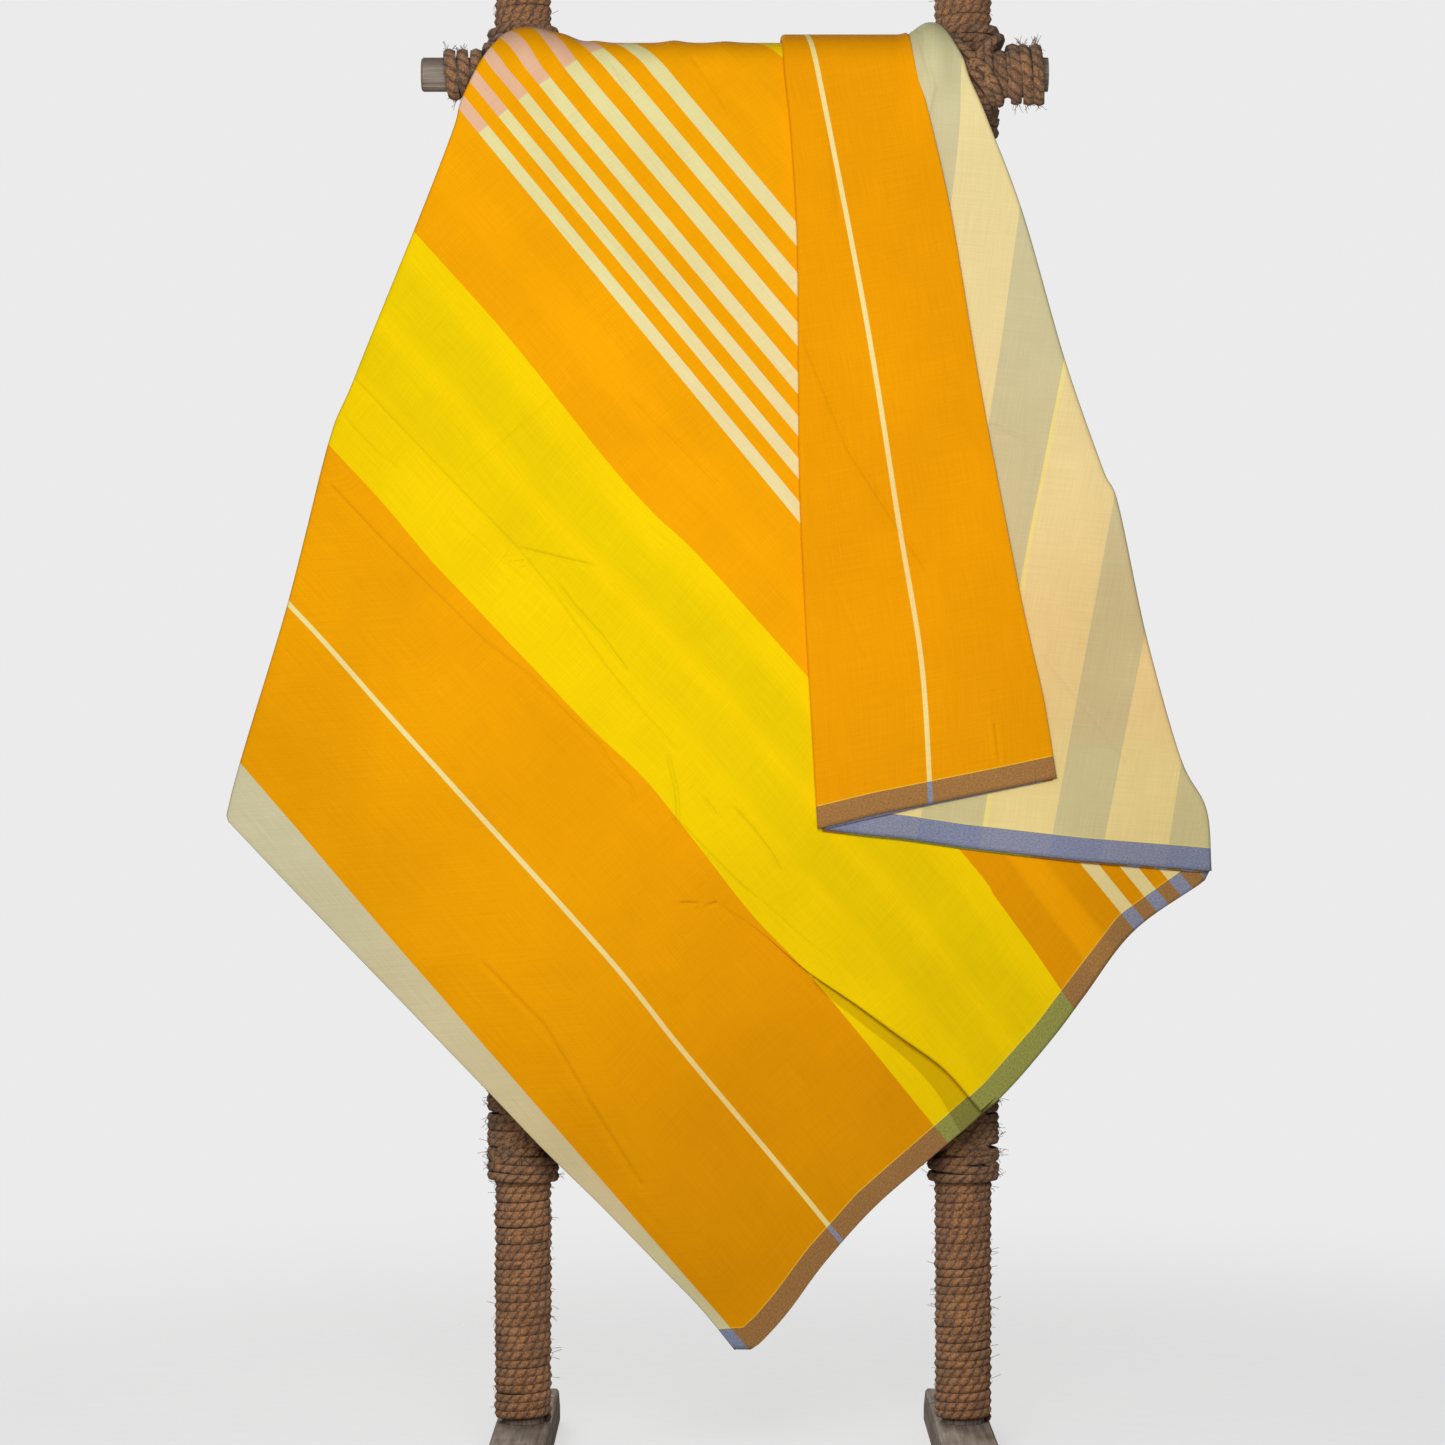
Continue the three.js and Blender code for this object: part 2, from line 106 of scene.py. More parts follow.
def noise(vector, scale, detail=3.0, roughness=0.5):
    """A soft random value that follows the vector."""
    node = place_after([vector], "ShaderNodeTexNoise")
    feed(vector, node.inputs["Vector"])
    node.inputs["Scale"].default_value = scale
    node.inputs["Detail"].default_value = detail
    node.inputs["Roughness"].default_value = roughness
    return node.outputs["Fac"]


def spread(value, low, high, new_low=0.0, new_high=1.0):
    """Stretches a value's range softly to a new one, and holds it there."""
    node = place_after([value], "ShaderNodeMapRange", interpolation_type="SMOOTHSTEP")
    for socket, number in zip(node.inputs, (value, low, high, new_low, new_high)):
        feed(number, socket)
    return node.outputs[0]


def mixed(amount, first, second, how="MIX"):
    """Two colours mixed. The colour sockets of a mix node are its seventh and eighth."""
    node = place_after([amount, first, second], "ShaderNodeMix", data_type="RGBA", blend_type=how)
    feed(amount, node.inputs[0])
    feed(first, node.inputs[6])
    feed(second, node.inputs[7])
    return node.outputs[2]


def bumped(shader, height, distance):
    """Gives the shader a bump of this height."""
    node = place_after([height], "ShaderNodeBump")
    node.inputs["Distance"].default_value = distance
    feed(height, node.inputs["Height"])
    feed(node.outputs["Normal"], shader.inputs["Normal"])


def place_points(tree):
    """A point's own place on the piece."""
    return place(tree, "ShaderNodeTexCoord").outputs["Object"]


def new_piece(name, points, faces, material):
    """A mesh of these points and faces, with its material, as an object at the origin."""
    mesh = bpy.data.meshes.new(name)
    mesh.from_pydata([tuple(p) for p in points], [], [tuple(f) for f in faces])
    mesh.materials.append(material)
    piece = bpy.data.objects.new(name, mesh)
    bpy.context.scene.collection.objects.link(piece)
    for polygon in mesh.polygons:
        polygon.use_smooth = True
    return piece


paper_radius = 1.7
paper_fade = 1.1
paper_alpha = 0.3
paper, paper_tree, paper_shader = principled("studio_paper", Roughness=0.9)
paper_grain = noise(place_points(paper_tree), 40.0)
feed(mixed(spread(paper_grain, 0.3, 0.7),
           colour("E9E9E9"), colour("EBEBEB")), paper_shader.inputs["Base Color"])
paper_reach = place(paper_tree, "ShaderNodeVectorMath", operation="LENGTH")
feed(place_points(paper_tree), paper_reach.inputs[0])
feed(spread(paper_reach.outputs["Value"], paper_radius - paper_fade,
            paper_radius, paper_alpha, 0.0), paper_shader.inputs["Alpha"])
paper_sides = 72
paper_rings = 6
paper_points = [(0.0, 0.0, 0.0)]
paper_faces = []
for ring in range(1, paper_rings + 1):
    for side in range(paper_sides):
        angle = 2 * math.pi * side / paper_sides
        reach = paper_radius * ring / paper_rings
        paper_points.append((reach * math.cos(angle), reach * math.sin(angle), 0.0))
for side in range(paper_sides):
    after = (side + 1) % paper_sides
    paper_faces.append((0, 1 + side, 1 + after))
    for ring in range(paper_rings - 1):
        first = 1 + ring * paper_sides
        paper_faces.append((first + side, first + paper_sides + side,
                            first + paper_sides + after, first + after))
floor = new_piece("floor", paper_points, paper_faces, paper)

# Light
# A soft key light close in front, a little above the cloth's middle, a wider one high at the left,
# a broad one high behind, and a pale room all round, which looks lighter than it shines. The
# colours are shown as they are, with no film look over them.
bpy.context.scene.view_settings.view_transform = "Standard"
world = bpy.data.worlds.new("room")
world.use_nodes = True
room = world.node_tree
seen = place(room, "ShaderNodeLightPath").outputs["Is Camera Ray"]
room_shine = (0.11, 0.11, 0.112, 1.0)
room_looks = colour("EBEBEB")
feed(mixed(seen, room_shine, room_looks), room.nodes["Background"].inputs["Color"])
bpy.context.scene.world = world


def soft_light(name, spot, aim, size, power):
    """A square soft light at a spot, facing a point, with its side in metres and its watts."""
    data = bpy.data.lights.new(name, "AREA")
    data.size = size
    data.energy = power
    light = bpy.data.objects.new(name, data)
    light.location = spot
    away = np.array(spot) - np.array(aim)
    level = math.hypot(away[0], away[1])
    light.rotation_euler = (math.atan2(level, away[2]), 0, math.atan2(away[0], -away[1]))
    light.visible_camera = False
    bpy.context.scene.collection.objects.link(light)


soft_light("key_light", (-0.03, -1.42, 0.92), (0, 0, 0.74), 0.7, 18)
soft_light("fill_light", (-1.9, -2.0, 2.0), (0, 0, 0.95), 1.2, 10)
soft_light("back_light", (-0.8, 2.4, 2.4), (0, 0, 0.7), 1.8, 60)


# Timber of the posts, rails and feet
# Round poles and sawn feet of weathered softwood, left bare, with fine grain along their length.
# The solids' own shapes are right, so they stay and only get the wood.
def shared_group(name, inputs, outputs):
    """An empty node group with named sockets, and its input and output nodes."""
    group = bpy.data.node_groups.new(name, "ShaderNodeTree")
    for label, kind, value in inputs:
        socket = group.interface.new_socket(label, in_out="INPUT", socket_type=kind)
        socket.default_value = value
    for label, kind in outputs:
        group.interface.new_socket(label, in_out="OUTPUT", socket_type=kind)
    return group, group.nodes.new("NodeGroupInput"), group.nodes.new("NodeGroupOutput")


def calculated(operation, *values):
    """A value worked out from others."""
    node = place_after(values, "ShaderNodeMath", operation=operation)
    for value, socket in zip(values, node.inputs):
        feed(value, socket)
    return node.outputs[0]


def use_group(tree, group, **values):
    """Places a shared group in a tree, with its own values."""
    node = place(tree, "ShaderNodeGroup", node_tree=group)
    for label, value in values.items():
        feed(value, node.inputs[label.replace("_", " ")])
    return node.outputs


grain_group, grain_in, grain_out = shared_group(
    "Weathered grain",
    [("Stretch", "NodeSocketVector", (1.0, 1.0, 1.0)),
     ("Dark", "NodeSocketColor", colour("4A3C30")),
     ("Light", "NodeSocketColor", colour("9A8C7C"))],
    [("Color", "NodeSocketColor"), ("Height", "NodeSocketFloat")])
grain_place = place(grain_group, "ShaderNodeVectorMath", operation="MULTIPLY")
feed(place_points(grain_group), grain_place.inputs[0])
feed(grain_in.outputs["Stretch"], grain_place.inputs[1])
fibres = noise(grain_place.outputs[0], 1.0, 6.0, 0.65)
stains = noise(place_points(grain_group), 28.0, 3.0)
stain_share = 0.35
grain_amount = calculated("MULTIPLY_ADD", spread(stains, 0.35, 0.7),
                          stain_share, spread(fibres, 0.3, 0.72, 0.0, 0.75))
feed(mixed(grain_amount, grain_in.outputs["Dark"],
           grain_in.outputs["Light"]), grain_out.inputs["Color"])
feed(fibres, grain_out.inputs["Height"])


def weathered_timber(name, stretch, dark, light):
    """Bare weathered wood with its grain along the axis that is stretched least."""
    material, tree, shader = principled(name, Roughness=0.82)
    grain = use_group(tree, grain_group, Stretch=stretch, Dark=colour(dark), Light=colour(light))
    feed(grain["Color"], shader.inputs["Base Color"])
    bumped(shader, grain["Height"], 0.0012)
    return material


post_timber = weathered_timber("post_timber", (420, 420, 18), "4F4034", "8E8071")
rail_timber = weathered_timber("rail_timber", (18, 420, 420), "5A4C40", "9C8E80")
foot_timber = weathered_timber("foot_timber", (260, 14, 260), "6A5A4A", "A8998A")
for names, material in ((("left_post", "right_post"), post_timber),
                        (("top_rail", "lower_rail"), rail_timber),
                        (("left_foot", "right_foot"), foot_timber)):
    for name in names:
        nodes[name].data.materials.clear()
        nodes[name].data.materials.append(material)

# Rope windings on the posts
# Twisted coir rope, wound close from the foot to just under the top of each post. It is one long
# helix, pressed a little flat, and its turns lie unevenly as a hand winds them.
coir_group, coir_in, coir_out = shared_group(
    "Coir strands",
    [("Strand length", "NodeSocketFloat", 0.011),
     ("Dark", "NodeSocketColor", colour("3E2A1C")),
     ("Light", "NodeSocketColor", colour("9C7350"))],
    [("Color", "NodeSocketColor"), ("Height", "NodeSocketFloat")])


def map_parts(tree, name):
    """The two values of a UV map."""
    parts = place(tree, "ShaderNodeSeparateXYZ")
    feed(place(tree, "ShaderNodeUVMap", uv_map=name).outputs["UV"], parts.inputs[0])
    return parts.outputs[0], parts.outputs[1]


def stretched(first, first_scale, second, second_scale):
    """A place for noise, from two values and how finely each is divided."""
    node = place_after([first], "ShaderNodeCombineXYZ")
    feed(calculated("MULTIPLY", first, first_scale), node.inputs[0])
    feed(calculated("MULTIPLY", second, second_scale), node.inputs[1])
    return node.outputs[0]


strand_count = 2.0
strand_height = 0.55
along_rope, round_rope = map_parts(coir_group, "rope")
strand_phase = calculated("ADD",
                          calculated("DIVIDE", along_rope, coir_in.outputs["Strand length"]),
                          calculated("MULTIPLY", round_rope, strand_count))
strand_wave = calculated("ABSOLUTE", calculated("SINE", calculated("MULTIPLY", strand_phase, math.pi)))
strand_round = calculated("POWER", strand_wave, 0.6)
hairs = noise(stretched(along_rope, 160.0, strand_phase, 7.0), 1.0, 4.0, 0.7)
fuzz = noise(stretched(along_rope, 700.0, round_rope, 9.0), 1.0, 5.0, 0.75)
patches = noise(place_points(coir_group), 60.0, 2.0)
flecks = noise(place_points(coir_group), 700.0, 3.0, 0.8)
rope_height = calculated("ADD",
                         calculated("MULTIPLY", strand_round, strand_height),
                         calculated("ADD", hairs, fuzz))
feed(rope_height, coir_out.inputs["Height"])
# The colour follows the bump: darker where it is low, which is painted shade in the grooves between the
# strands, and varied by the fibres' own patches and flecks.
groove_shade_and_fibre_tone = calculated("MULTIPLY",
                        spread(rope_height, 0.85, 1.75),
                        calculated("MULTIPLY",
                                   spread(patches, 0.25, 0.75, 0.55, 1.15),
                                   spread(flecks, 0.4, 0.62, 0.5, 1.5)))
feed(mixed(groove_shade_and_fibre_tone, coir_in.outputs["Dark"], coir_in.outputs["Light"]), coir_out.inputs["Color"])


def coir_rope(name, strand_length, dark, light):
    """Twisted coir: coarse fibres, brown with paler hairs."""
    material, tree, shader = principled(name, Roughness=0.9, Sheen_Weight=0.15)
    coir = use_group(tree, coir_group, Strand_length=strand_length, Dark=colour(dark),
                     Light=colour(light))
    feed(coir["Color"], shader.inputs["Base Color"])
    bumped(shader, coir["Height"], 0.0016)
    return material


winding_rope = coir_rope("winding_rope", 0.0075, "4B2F1C", "CE9059")
lashing_rope = coir_rope("lashing_rope", 0.0085, "3F291C", "C08A58")


def unit(vectors):
    """Each vector at a length of 1."""
    return vectors / np.linalg.norm(vectors, axis=1, keepdims=True)


def rope(name, stretches, material):
    """Ropes as one piece on the stand. A stretch is its path, what is outward at each point, and
    its width and thickness there."""
    sides = 6
    points, faces, places = [], [], []
    for path, outward, width, thickness in stretches:
        along = unit(np.gradient(path, axis=0))
        across = unit(np.cross(along, outward))
        out = np.cross(across, along)
        round_it = 2 * math.pi * np.arange(sides) / sides
        width = np.broadcast_to(width, len(path))[:, None, None]
        thickness = np.broadcast_to(thickness, len(path))[:, None, None]
        rings = (path[:, None] + out[:, None] * thickness / 2 * np.cos(round_it)[None, :, None]
                 + across[:, None] * width / 2 * np.sin(round_it)[None, :, None])
        gone = np.concatenate([[0], np.cumsum(np.linalg.norm(np.diff(path, axis=0), axis=1))])
        first = len(points)
        points += rings.reshape(-1, 3).tolist()
        for i in range(len(path) - 1):
            here = first + i * sides
            for k in range(sides):
                n = (k + 1) % sides
                faces.append((here + k, here + n, here + sides + n, here + sides + k))
                for step, turn in ((i, k), (i, k + 1), (i + 1, k + 1), (i + 1, k)):
                    places.append((gone[step], turn / sides))
        last = first + (len(path) - 1) * sides
        for cap in (range(first + sides - 1, first - 1, -1), range(last, last + sides)):
            faces.append(tuple(cap))
            places += [(0.0, 0.0)] * sides
    piece = new_piece(name, points, faces, material)
    layer = piece.data.uv_layers.new(name="rope")
    layer.data.foreach_set("uv", np.array(places, np.float32).ravel())
    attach(piece, "root")
    return piece


def stray_fibres(rng, stretch, count):
    """Short fibres that stand off a rope, as stretches for rope()."""
    fibre_points = 4
    fibre_thickness = 0.00035
    fibre_lift = 0.0022
    path, outward, width, thickness = stretch
    along = unit(np.gradient(path, axis=0))
    fibres = []
    for place_along in rng.integers(1, len(path) - 1, count):
        run, out = along[place_along], outward[place_along]
        across = np.cross(run, out)
        lean = unit(rng.normal(0, 1, (1, 3)))[0]
        way = run * rng.choice((-1, 1)) + lean * 0.8 + out * 0.25
        start = (path[place_along] + out * np.mean(thickness) * 0.42
                 + across * rng.uniform(-0.3, 0.3) * np.mean(width))
        length = rng.uniform(0.003, 0.007)
        steps = np.linspace(0, 1, fibre_points)[:, None]
        fibre = start + way * length * steps + out * fibre_lift * steps * (1.6 - steps)
        fibres.append([fibre, np.repeat(out[None], fibre_points, axis=0),
                       fibre_thickness, fibre_thickness])
    return fibres


def uneven(rng, turns, amount):
    """A slow random drift along a winding, from turn to turn."""
    knots = np.arange(0, int(turns[-1]) + 3)
    return np.interp(turns, knots, rng.uniform(-amount, amount, len(knots)))


def winding(rng, start, end, pitch, radius, width, thickness, axis):
    """A rope's helix round an upright or a level pole, as a stretch for rope()."""
    steps_per_turn = 24
    turns = np.arange(0, (end - start - width) / pitch, 1 / steps_per_turn)
    angle = 2 * math.pi * turns
    wander = uneven(rng, turns * 2.3, 0.13 * pitch) * np.clip(turns, 0, 1) * np.clip(
        turns[-1] - turns, 0, 1)
    place_along = start + width / 2 + pitch * turns + wander
    reach = radius + uneven(rng, turns * 1.9, 0.0006)
    zero = np.zeros_like(angle)
    if axis == "upright":
        outward = np.stack([np.cos(angle), np.sin(angle), zero], axis=1)
        path = outward * reach[:, None] + np.stack([zero, zero, place_along], axis=1)
    else:
        outward = np.stack([zero, np.cos(angle), np.sin(angle)], axis=1)
        path = outward * reach[:, None] + np.stack([place_along, zero, zero], axis=1)
    wide = width * (1 + uneven(rng, turns * 1.7, 0.10))
    return [path, outward, wide, thickness * (1 + uneven(rng, turns * 1.3, 0.10))]


def moved(stretch, offset):
    """A stretch of rope, moved by an offset."""
    path, outward, width, thickness = stretch
    return [path + np.array(offset), outward, width, thickness]


post_offset = 0.1755
post_radius = 0.017
rope_thickness = 0.006
rope_width = 0.0080
rope_pitch = 0.0066
post_fibres = 900
for side, sign, seed in (("left", -1, 11), ("right", 1, 12)):
    low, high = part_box(f"{side}_post_winding")
    coil = winding(np.random.default_rng(seed), low.z, high.z, rope_pitch,
                   post_radius + rope_thickness / 2, rope_width, rope_thickness, "upright")
    coil = moved(coil, (middle_x + sign * post_offset, 0, 0))
    fibres = stray_fibres(np.random.default_rng(seed + 60), coil, post_fibres)
    piece = rope(f"{side}_post_rope", [coil, *fibres], winding_rope)
    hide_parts(f"{side}_post_winding")

# Rope winding on the top rail
# The same coir rope round the rail that carries the cloth. At the left it ends in a few loose
# heavy turns short of the bare end, and at the right it is doubled to the rail's very end.
rail_y = -0.043
rail_z = 1.100
rail_radius = 0.0135
rail_low, rail_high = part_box("top_rail_winding")
left_turns_end = middle_x - 0.200
right_turns_start = middle_x + 0.205
rail_fibres = 170
bare_from = 0.213
rail_coils = []
# The main coil, the heavy turns at the left and the second layer at the right, each with its seed,
# its two ends, its pitch, how far its middle lies off the timber, its width and its thickness.
for seed, start, end, pitch, off_rail, width, thickness in (
        (21, left_turns_end, right_turns_start + 0.030, rope_pitch, rope_thickness / 2, rope_width,
         rope_thickness),
        (22, rail_low.x, left_turns_end + 0.004, 0.0098, 0.0036, 0.0106, 0.0072),
        (23, right_turns_start - 0.001, rail_high.x, 0.0088, 0.0080, 0.0094, 0.0062)):
    coil = winding(np.random.default_rng(seed), start, end, pitch, rail_radius + off_rail, width,
                   thickness, "level")
    rail_coils.append(moved(coil, (0, rail_y, rail_z)))
for coil in rail_coils[1:3]:
    rail_coils += [fibre for fibre in stray_fibres(np.random.default_rng(24), coil, rail_fibres)
                   if abs(fibre[0][0, 0] - middle_x) > bare_from]
rail_rope = rope("top_rail_rope", rail_coils, lashing_rope)
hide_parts("top_rail_winding")

# Rope winding on the lower rail
# The same coir rope on the rail that holds the posts apart. It is one close helix from post to
# post, behind the cloth, and its ends go under the lashings.
lower_low, lower_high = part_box("lower_rail_winding")
lower_z = 0.269
lower_coil = winding(np.random.default_rng(31), lower_low.x, lower_high.x, rope_pitch,
                     rail_radius + rope_thickness / 2, rope_width, rope_thickness, "level")
lower_rope = rope("lower_rail_rope", [moved(lower_coil, (0, 0, lower_z))], winding_rope)
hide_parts("lower_rail_winding")

# Lashings at the joints
# Where a rail meets a post the rope is wound round both: level turns on the post, upright turns on
# the rail, and slanting turns that cross over the joint and pull it tight.
post_reach = 0.0262
rail_reach = 0.0226
lashing_width = 0.0074
lashing_thickness = 0.0056


def lie_on(path, axis_post, axis_rail, rail_from, rail_to):
    """Pushes a rope's path out of the post and the rail, and says what is outward there."""
    post = np.array(axis_post)
    rail = np.array(axis_rail)
    for _ in range(4):
        from_post = path - post
        from_post[:, 2] = 0
        reach = np.linalg.norm(from_post, axis=1, keepdims=True)
        path = path + from_post / reach * np.maximum(0, post_reach - reach)
        from_rail = path - rail
        from_rail[:, 0] = 0
        reach = np.linalg.norm(from_rail, axis=1, keepdims=True)
        beside = (path[:, :1] > rail_from) & (path[:, :1] < rail_to)
        path = path + from_rail / reach * np.maximum(0, rail_reach - reach) * beside
    middle = (post + rail) / 2
    middle[0] = post[0]
    outward = path - np.array([middle[0], middle[1], path[:, 2].mean()])
    return path, unit(outward)


def squared(wave):
    """A wave with flatter sides."""
    return np.sign(wave) * np.abs(wave) ** 0.75


def slanting_turn(rng, centre, half_width, half_depth, rise, lean):
    """A closed loop across a joint, before it is pushed out of the poles."""
    t = np.linspace(0, 2 * math.pi, 49) + rng.uniform(0, 6)
    path = np.stack([half_width * squared(np.cos(t)), -half_depth * squared(np.sin(t)),
                     rise * squared(np.cos(t)) + lean * np.sin(t)], axis=1)
    return path + np.array(centre)


def plain_turn(rng, centre, radius, tilt, pole):
    """A turn round an upright post or a level rail, tilted a little."""
    t = np.linspace(0, 2 * math.pi, 33) + rng.uniform(0, 6)
    lean = rng.uniform(-tilt, tilt) * np.cos(t)
    circle = [radius * np.cos(t), radius * np.sin(t)]
    path = [*circle, lean] if pole == "post" else [lean, *circle]
    return np.stack(path, axis=1) + np.array(centre)


def lashing(name, rng, turns, post_axis, rail_axis, rail_from, rail_to, fibre_count):
    """A joint's turns as one piece, each laid on the poles, with loose fibres."""
    stretches = []
    for turn in turns:
        path, outward = lie_on(turn, post_axis, rail_axis, rail_from, rail_to)
        stretches.append([path, outward, lashing_width, lashing_thickness])
        stretches += stray_fibres(rng, stretches[-1], fibre_count)
    return rope(name, stretches, lashing_rope)


for side, sign, seed in (("left", -1, 41), ("right", 1, 42)):
    rng = np.random.default_rng(seed)
    post_x = middle_x + sign * post_offset
    turns = []
    for lift in (-0.0395, -0.0325, -0.0255, 0.0255, 0.0325, 0.0395):
        turns.append(plain_turn(rng, (post_x, 0, rail_z + lift), post_reach, 0.0015, "post"))
    for aside in (-0.0155, 0.0155):
        turns.append(plain_turn(rng, (post_x + aside, rail_y, rail_z), rail_reach, 0.001, "rail"))
    for slant in (-1, 1):
        for shift in (-0.007, 0.0, 0.007):
            turns.append(slanting_turn(rng, (post_x + shift * 0.7, -0.020, rail_z + shift),
                                       0.0235, 0.0445, slant * 0.0235, 0.002))
    piece = lashing(f"{side}_top_lashing_rope", rng, turns, (post_x, 0, 0), (0, rail_y, rail_z),
                    -1, 1, 0)
    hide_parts(f"{side}_top_lashing")

lower_lashing_fibres = 14
for side, sign, seed in (("left", -1, 51), ("right", 1, 52)):
    rng = np.random.default_rng(seed)
    post_x = middle_x + sign * post_offset
    rail_side = (-1, post_x - 0.020) if sign > 0 else (post_x + 0.020, 1)
    turns = []
    for lift in np.arange(-0.040, 0.041, 0.0069):
        turn = plain_turn(rng, (post_x, 0, lower_z + lift), post_reach, 0.002, "post")
        if abs(lift) < 0.023:
            kept = (turn[:, 0] - post_x) * sign > -0.017
            turn = turn[np.roll(np.arange(len(turn)), -int(np.argmax(~kept)))]
            turn = turn[((turn[:, 0] - post_x) * sign > -0.017)]
        turns.append(turn)
    for aside in (0.031, 0.038, 0.0445):
        turns.append(plain_turn(rng, (post_x - sign * aside, 0, lower_z), rail_reach, 0.0015,
                                "rail"))
    for slant in (-1, 1):
        for shift in (-0.006, 0.002):
            turns.append(slanting_turn(rng, (post_x - sign * 0.009, 0, lower_z + shift),
                                       0.0325, 0.0245, slant * 0.0270, 0.001))
    piece = lashing(f"{side}_lower_lashing_rope", rng, turns, (post_x, 0, 0), (0, 0, lower_z),
                    *rail_side, lower_lashing_fibres)
    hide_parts(f"{side}_lower_lashing")

# The sarong: its front stretch
# The sarong is one tube of plain-woven handloom cotton, about 2.06 m round and 1.12 m from hem to
# hem, folded flat and hung over the rail. This is the broad striped stretch that hangs in front:
# its left edges are folds of the tube, its lower right edge is the hem, and it passes over the rail
# and down behind. Lengths in the cloth's tables are in millimetres, across from the middle of the
# stand, and up the cloth as if it ran on straight over the rail.
millimetre = 0.001
rail_height = 1100.0
rail_depth = -43.0
roll_radius = 20.0
shoulder_lift = 6.3
shoulder_start = 120.0
shoulder_run = 24.0
shoulder_drop = 60.0
layer_step = 1.35
layer_middle = 0.525
cloth_thickness = 0.0005
hem_width = 17.0
hem_lift = 0.35
fold_spacing = 310.0
fold_height = 5.0
left_wing = 14.0
right_wing = 9.0
ripple_height = 0.45
foot_reach = 170.0
roll_steps = 5
rows_change = 1130.0
far_away = 1e9


def ease(value):
    """A smooth step from 0 to 1."""
    held = np.clip(value, 0, 1)
    return held * held * (3 - 2 * held)


def swell(x, z):
    """Low broad folds along the stripes in front, and wings that fall back at the sides."""
    rise = ease((1040 - z) / 260)
    across = 0.757 * x + 0.654 * z
    wave = 0.5 - 0.5 * np.cos(2 * math.pi * across / fold_spacing + 0.6)
    left = left_wing * ease((-240 - x) / 165)
    right = right_wing * ease((x - 230) / 135)
    ripple = np.sin(x / 17 + 2.1 * np.sin(z / 41)) + np.sin(z / 23 - 1.7 * np.sin(x / 37 + 0.8))
    corner = 2 * ease((x - 190) / 120) * ease((520 - z) / 120)
    return rise * (fold_height * wave - left - right - corner + ripple_height * ripple)


def over_rail(depth):
    """The height, along the cloth, at which it has come down behind the rail to the rail's axis."""
    return rail_height + math.pi * (roll_radius + depth + 2)


def hang(x, height, depth, out):
    """Where points of a layer are in space: up the front, over the rail and down behind it. A
    point may lie further out than its layer."""
    behind = over_rail(depth)
    lift = shoulder_lift * ease((np.abs(x) - shoulder_start) / shoulder_run)
    lift = lift * np.where(height < rail_height, 1 - ease((rail_height - height) / shoulder_drop), 1)
    turn = math.pi * np.clip((height - rail_height) / (behind - rail_height), 0, 1)
    radius = roll_radius + depth + lift + out
    radius = radius + np.where(height < rail_height, swell(x, height), 0)
    below = np.where(height < rail_height, height - rail_height, np.minimum(0, behind - height))
    y = rail_depth - radius * np.cos(turn)
    z = rail_height + radius * np.sin(turn) + below
    return np.stack([x * millimetre + middle_x, y * millimetre, z * millimetre], axis=-1)


def soft_line(points):
    """A smooth line through given points, a few millimetres apart."""
    points = np.array(points, float)
    padded = np.vstack([2 * points[0] - points[1], points, 2 * points[-1] - points[-2]])
    found = []
    for p0, p1, p2, p3 in zip(padded, padded[1:], padded[2:], padded[3:]):
        t = np.linspace(0, 1, 12, endpoint=False)[:, None]
        found.append(0.5 * (2 * p1 + (p2 - p0) * t + (2 * p0 - 5 * p1 + 4 * p2 - p3) * t ** 2
                            + (3 * p1 - p0 - 3 * p2 + p3) * t ** 3))
    return np.vstack([*found, points[-1:]])


def beside(x, height, line):
    """How far points lie to the right of a line, which runs on straight past its two ends."""
    line = np.array(line, float)
    nearest = np.full(np.shape(x), far_away)
    for i in range(len(line) - 1):
        (ax, ah), (dx, dh) = line[i], line[i + 1] - line[i]
        length = math.hypot(dx, dh)
        t = ((x - ax) * dx + (height - ah) * dh) / length
        if i > 0:
            t = np.maximum(t, 0)
        if i < len(line) - 2:
            t = np.minimum(t, length)
        away_x, away_h = x - ax - t * dx / length, height - ah - t * dh / length
        side = np.where(away_x * dh - away_h * dx >= 0, 1, -1)
        distance = side * np.hypot(away_x, away_h)
        nearest = np.where(np.abs(distance) < np.abs(nearest), distance, nearest)
    return nearest


def round_the_tube(x, height, stripes, grows_right=True):
    """How far round the tube points are, from lines that follow known stripes of the cloth."""
    sign = 1 if grows_right else -1
    lines = [(place_round, sign * beside(x, height, soft_line(line) if len(line) > 2 else line))
             for place_round, line in stripes]
    value = lines[0][0] + lines[0][1]
    for (first, gap), (second, next_gap) in zip(lines, lines[1:]):
        share = gap / np.where(gap == next_gap, 1, gap - next_gap)
        value = np.where((gap > 0) & (next_gap <= 0), first + (second - first) * share, value)
    return np.where(lines[-1][1] > 0, lines[-1][0] + lines[-1][1], value)


def from_segment(x, height, start, end):
    """How far along a segment its nearest place to each point is, and how far off the point is."""
    (ax, ah), (bx, bh) = start, end
    dx, dh = bx - ax, bh - ah
    share = np.clip(((x - ax) * dx + (height - ah) * dh) / (dx * dx + dh * dh), 0, 1)
    away_x, away_h = x - ax - share * dx, height - ah - share * dh
    side = np.where(away_x * dh - away_h * dx >= 0, 1, -1)
    return share, np.hypot(away_x, away_h), side


def creased(x, height, creases):
    """Soft ridges and troughs: each runs from point to point, with a half width and a height."""
    ridge = np.zeros_like(x)
    trough = np.zeros_like(x)
    for ax, ah, bx, bh, half_width, rise in creases:
        distance = from_segment(x, height, (ax, ah), (bx, bh))[1]
        bend = rise * np.exp(-(distance / half_width) ** 2)
        ridge = np.maximum(ridge, bend)
        trough = np.minimum(trough, bend)
    return ridge + trough


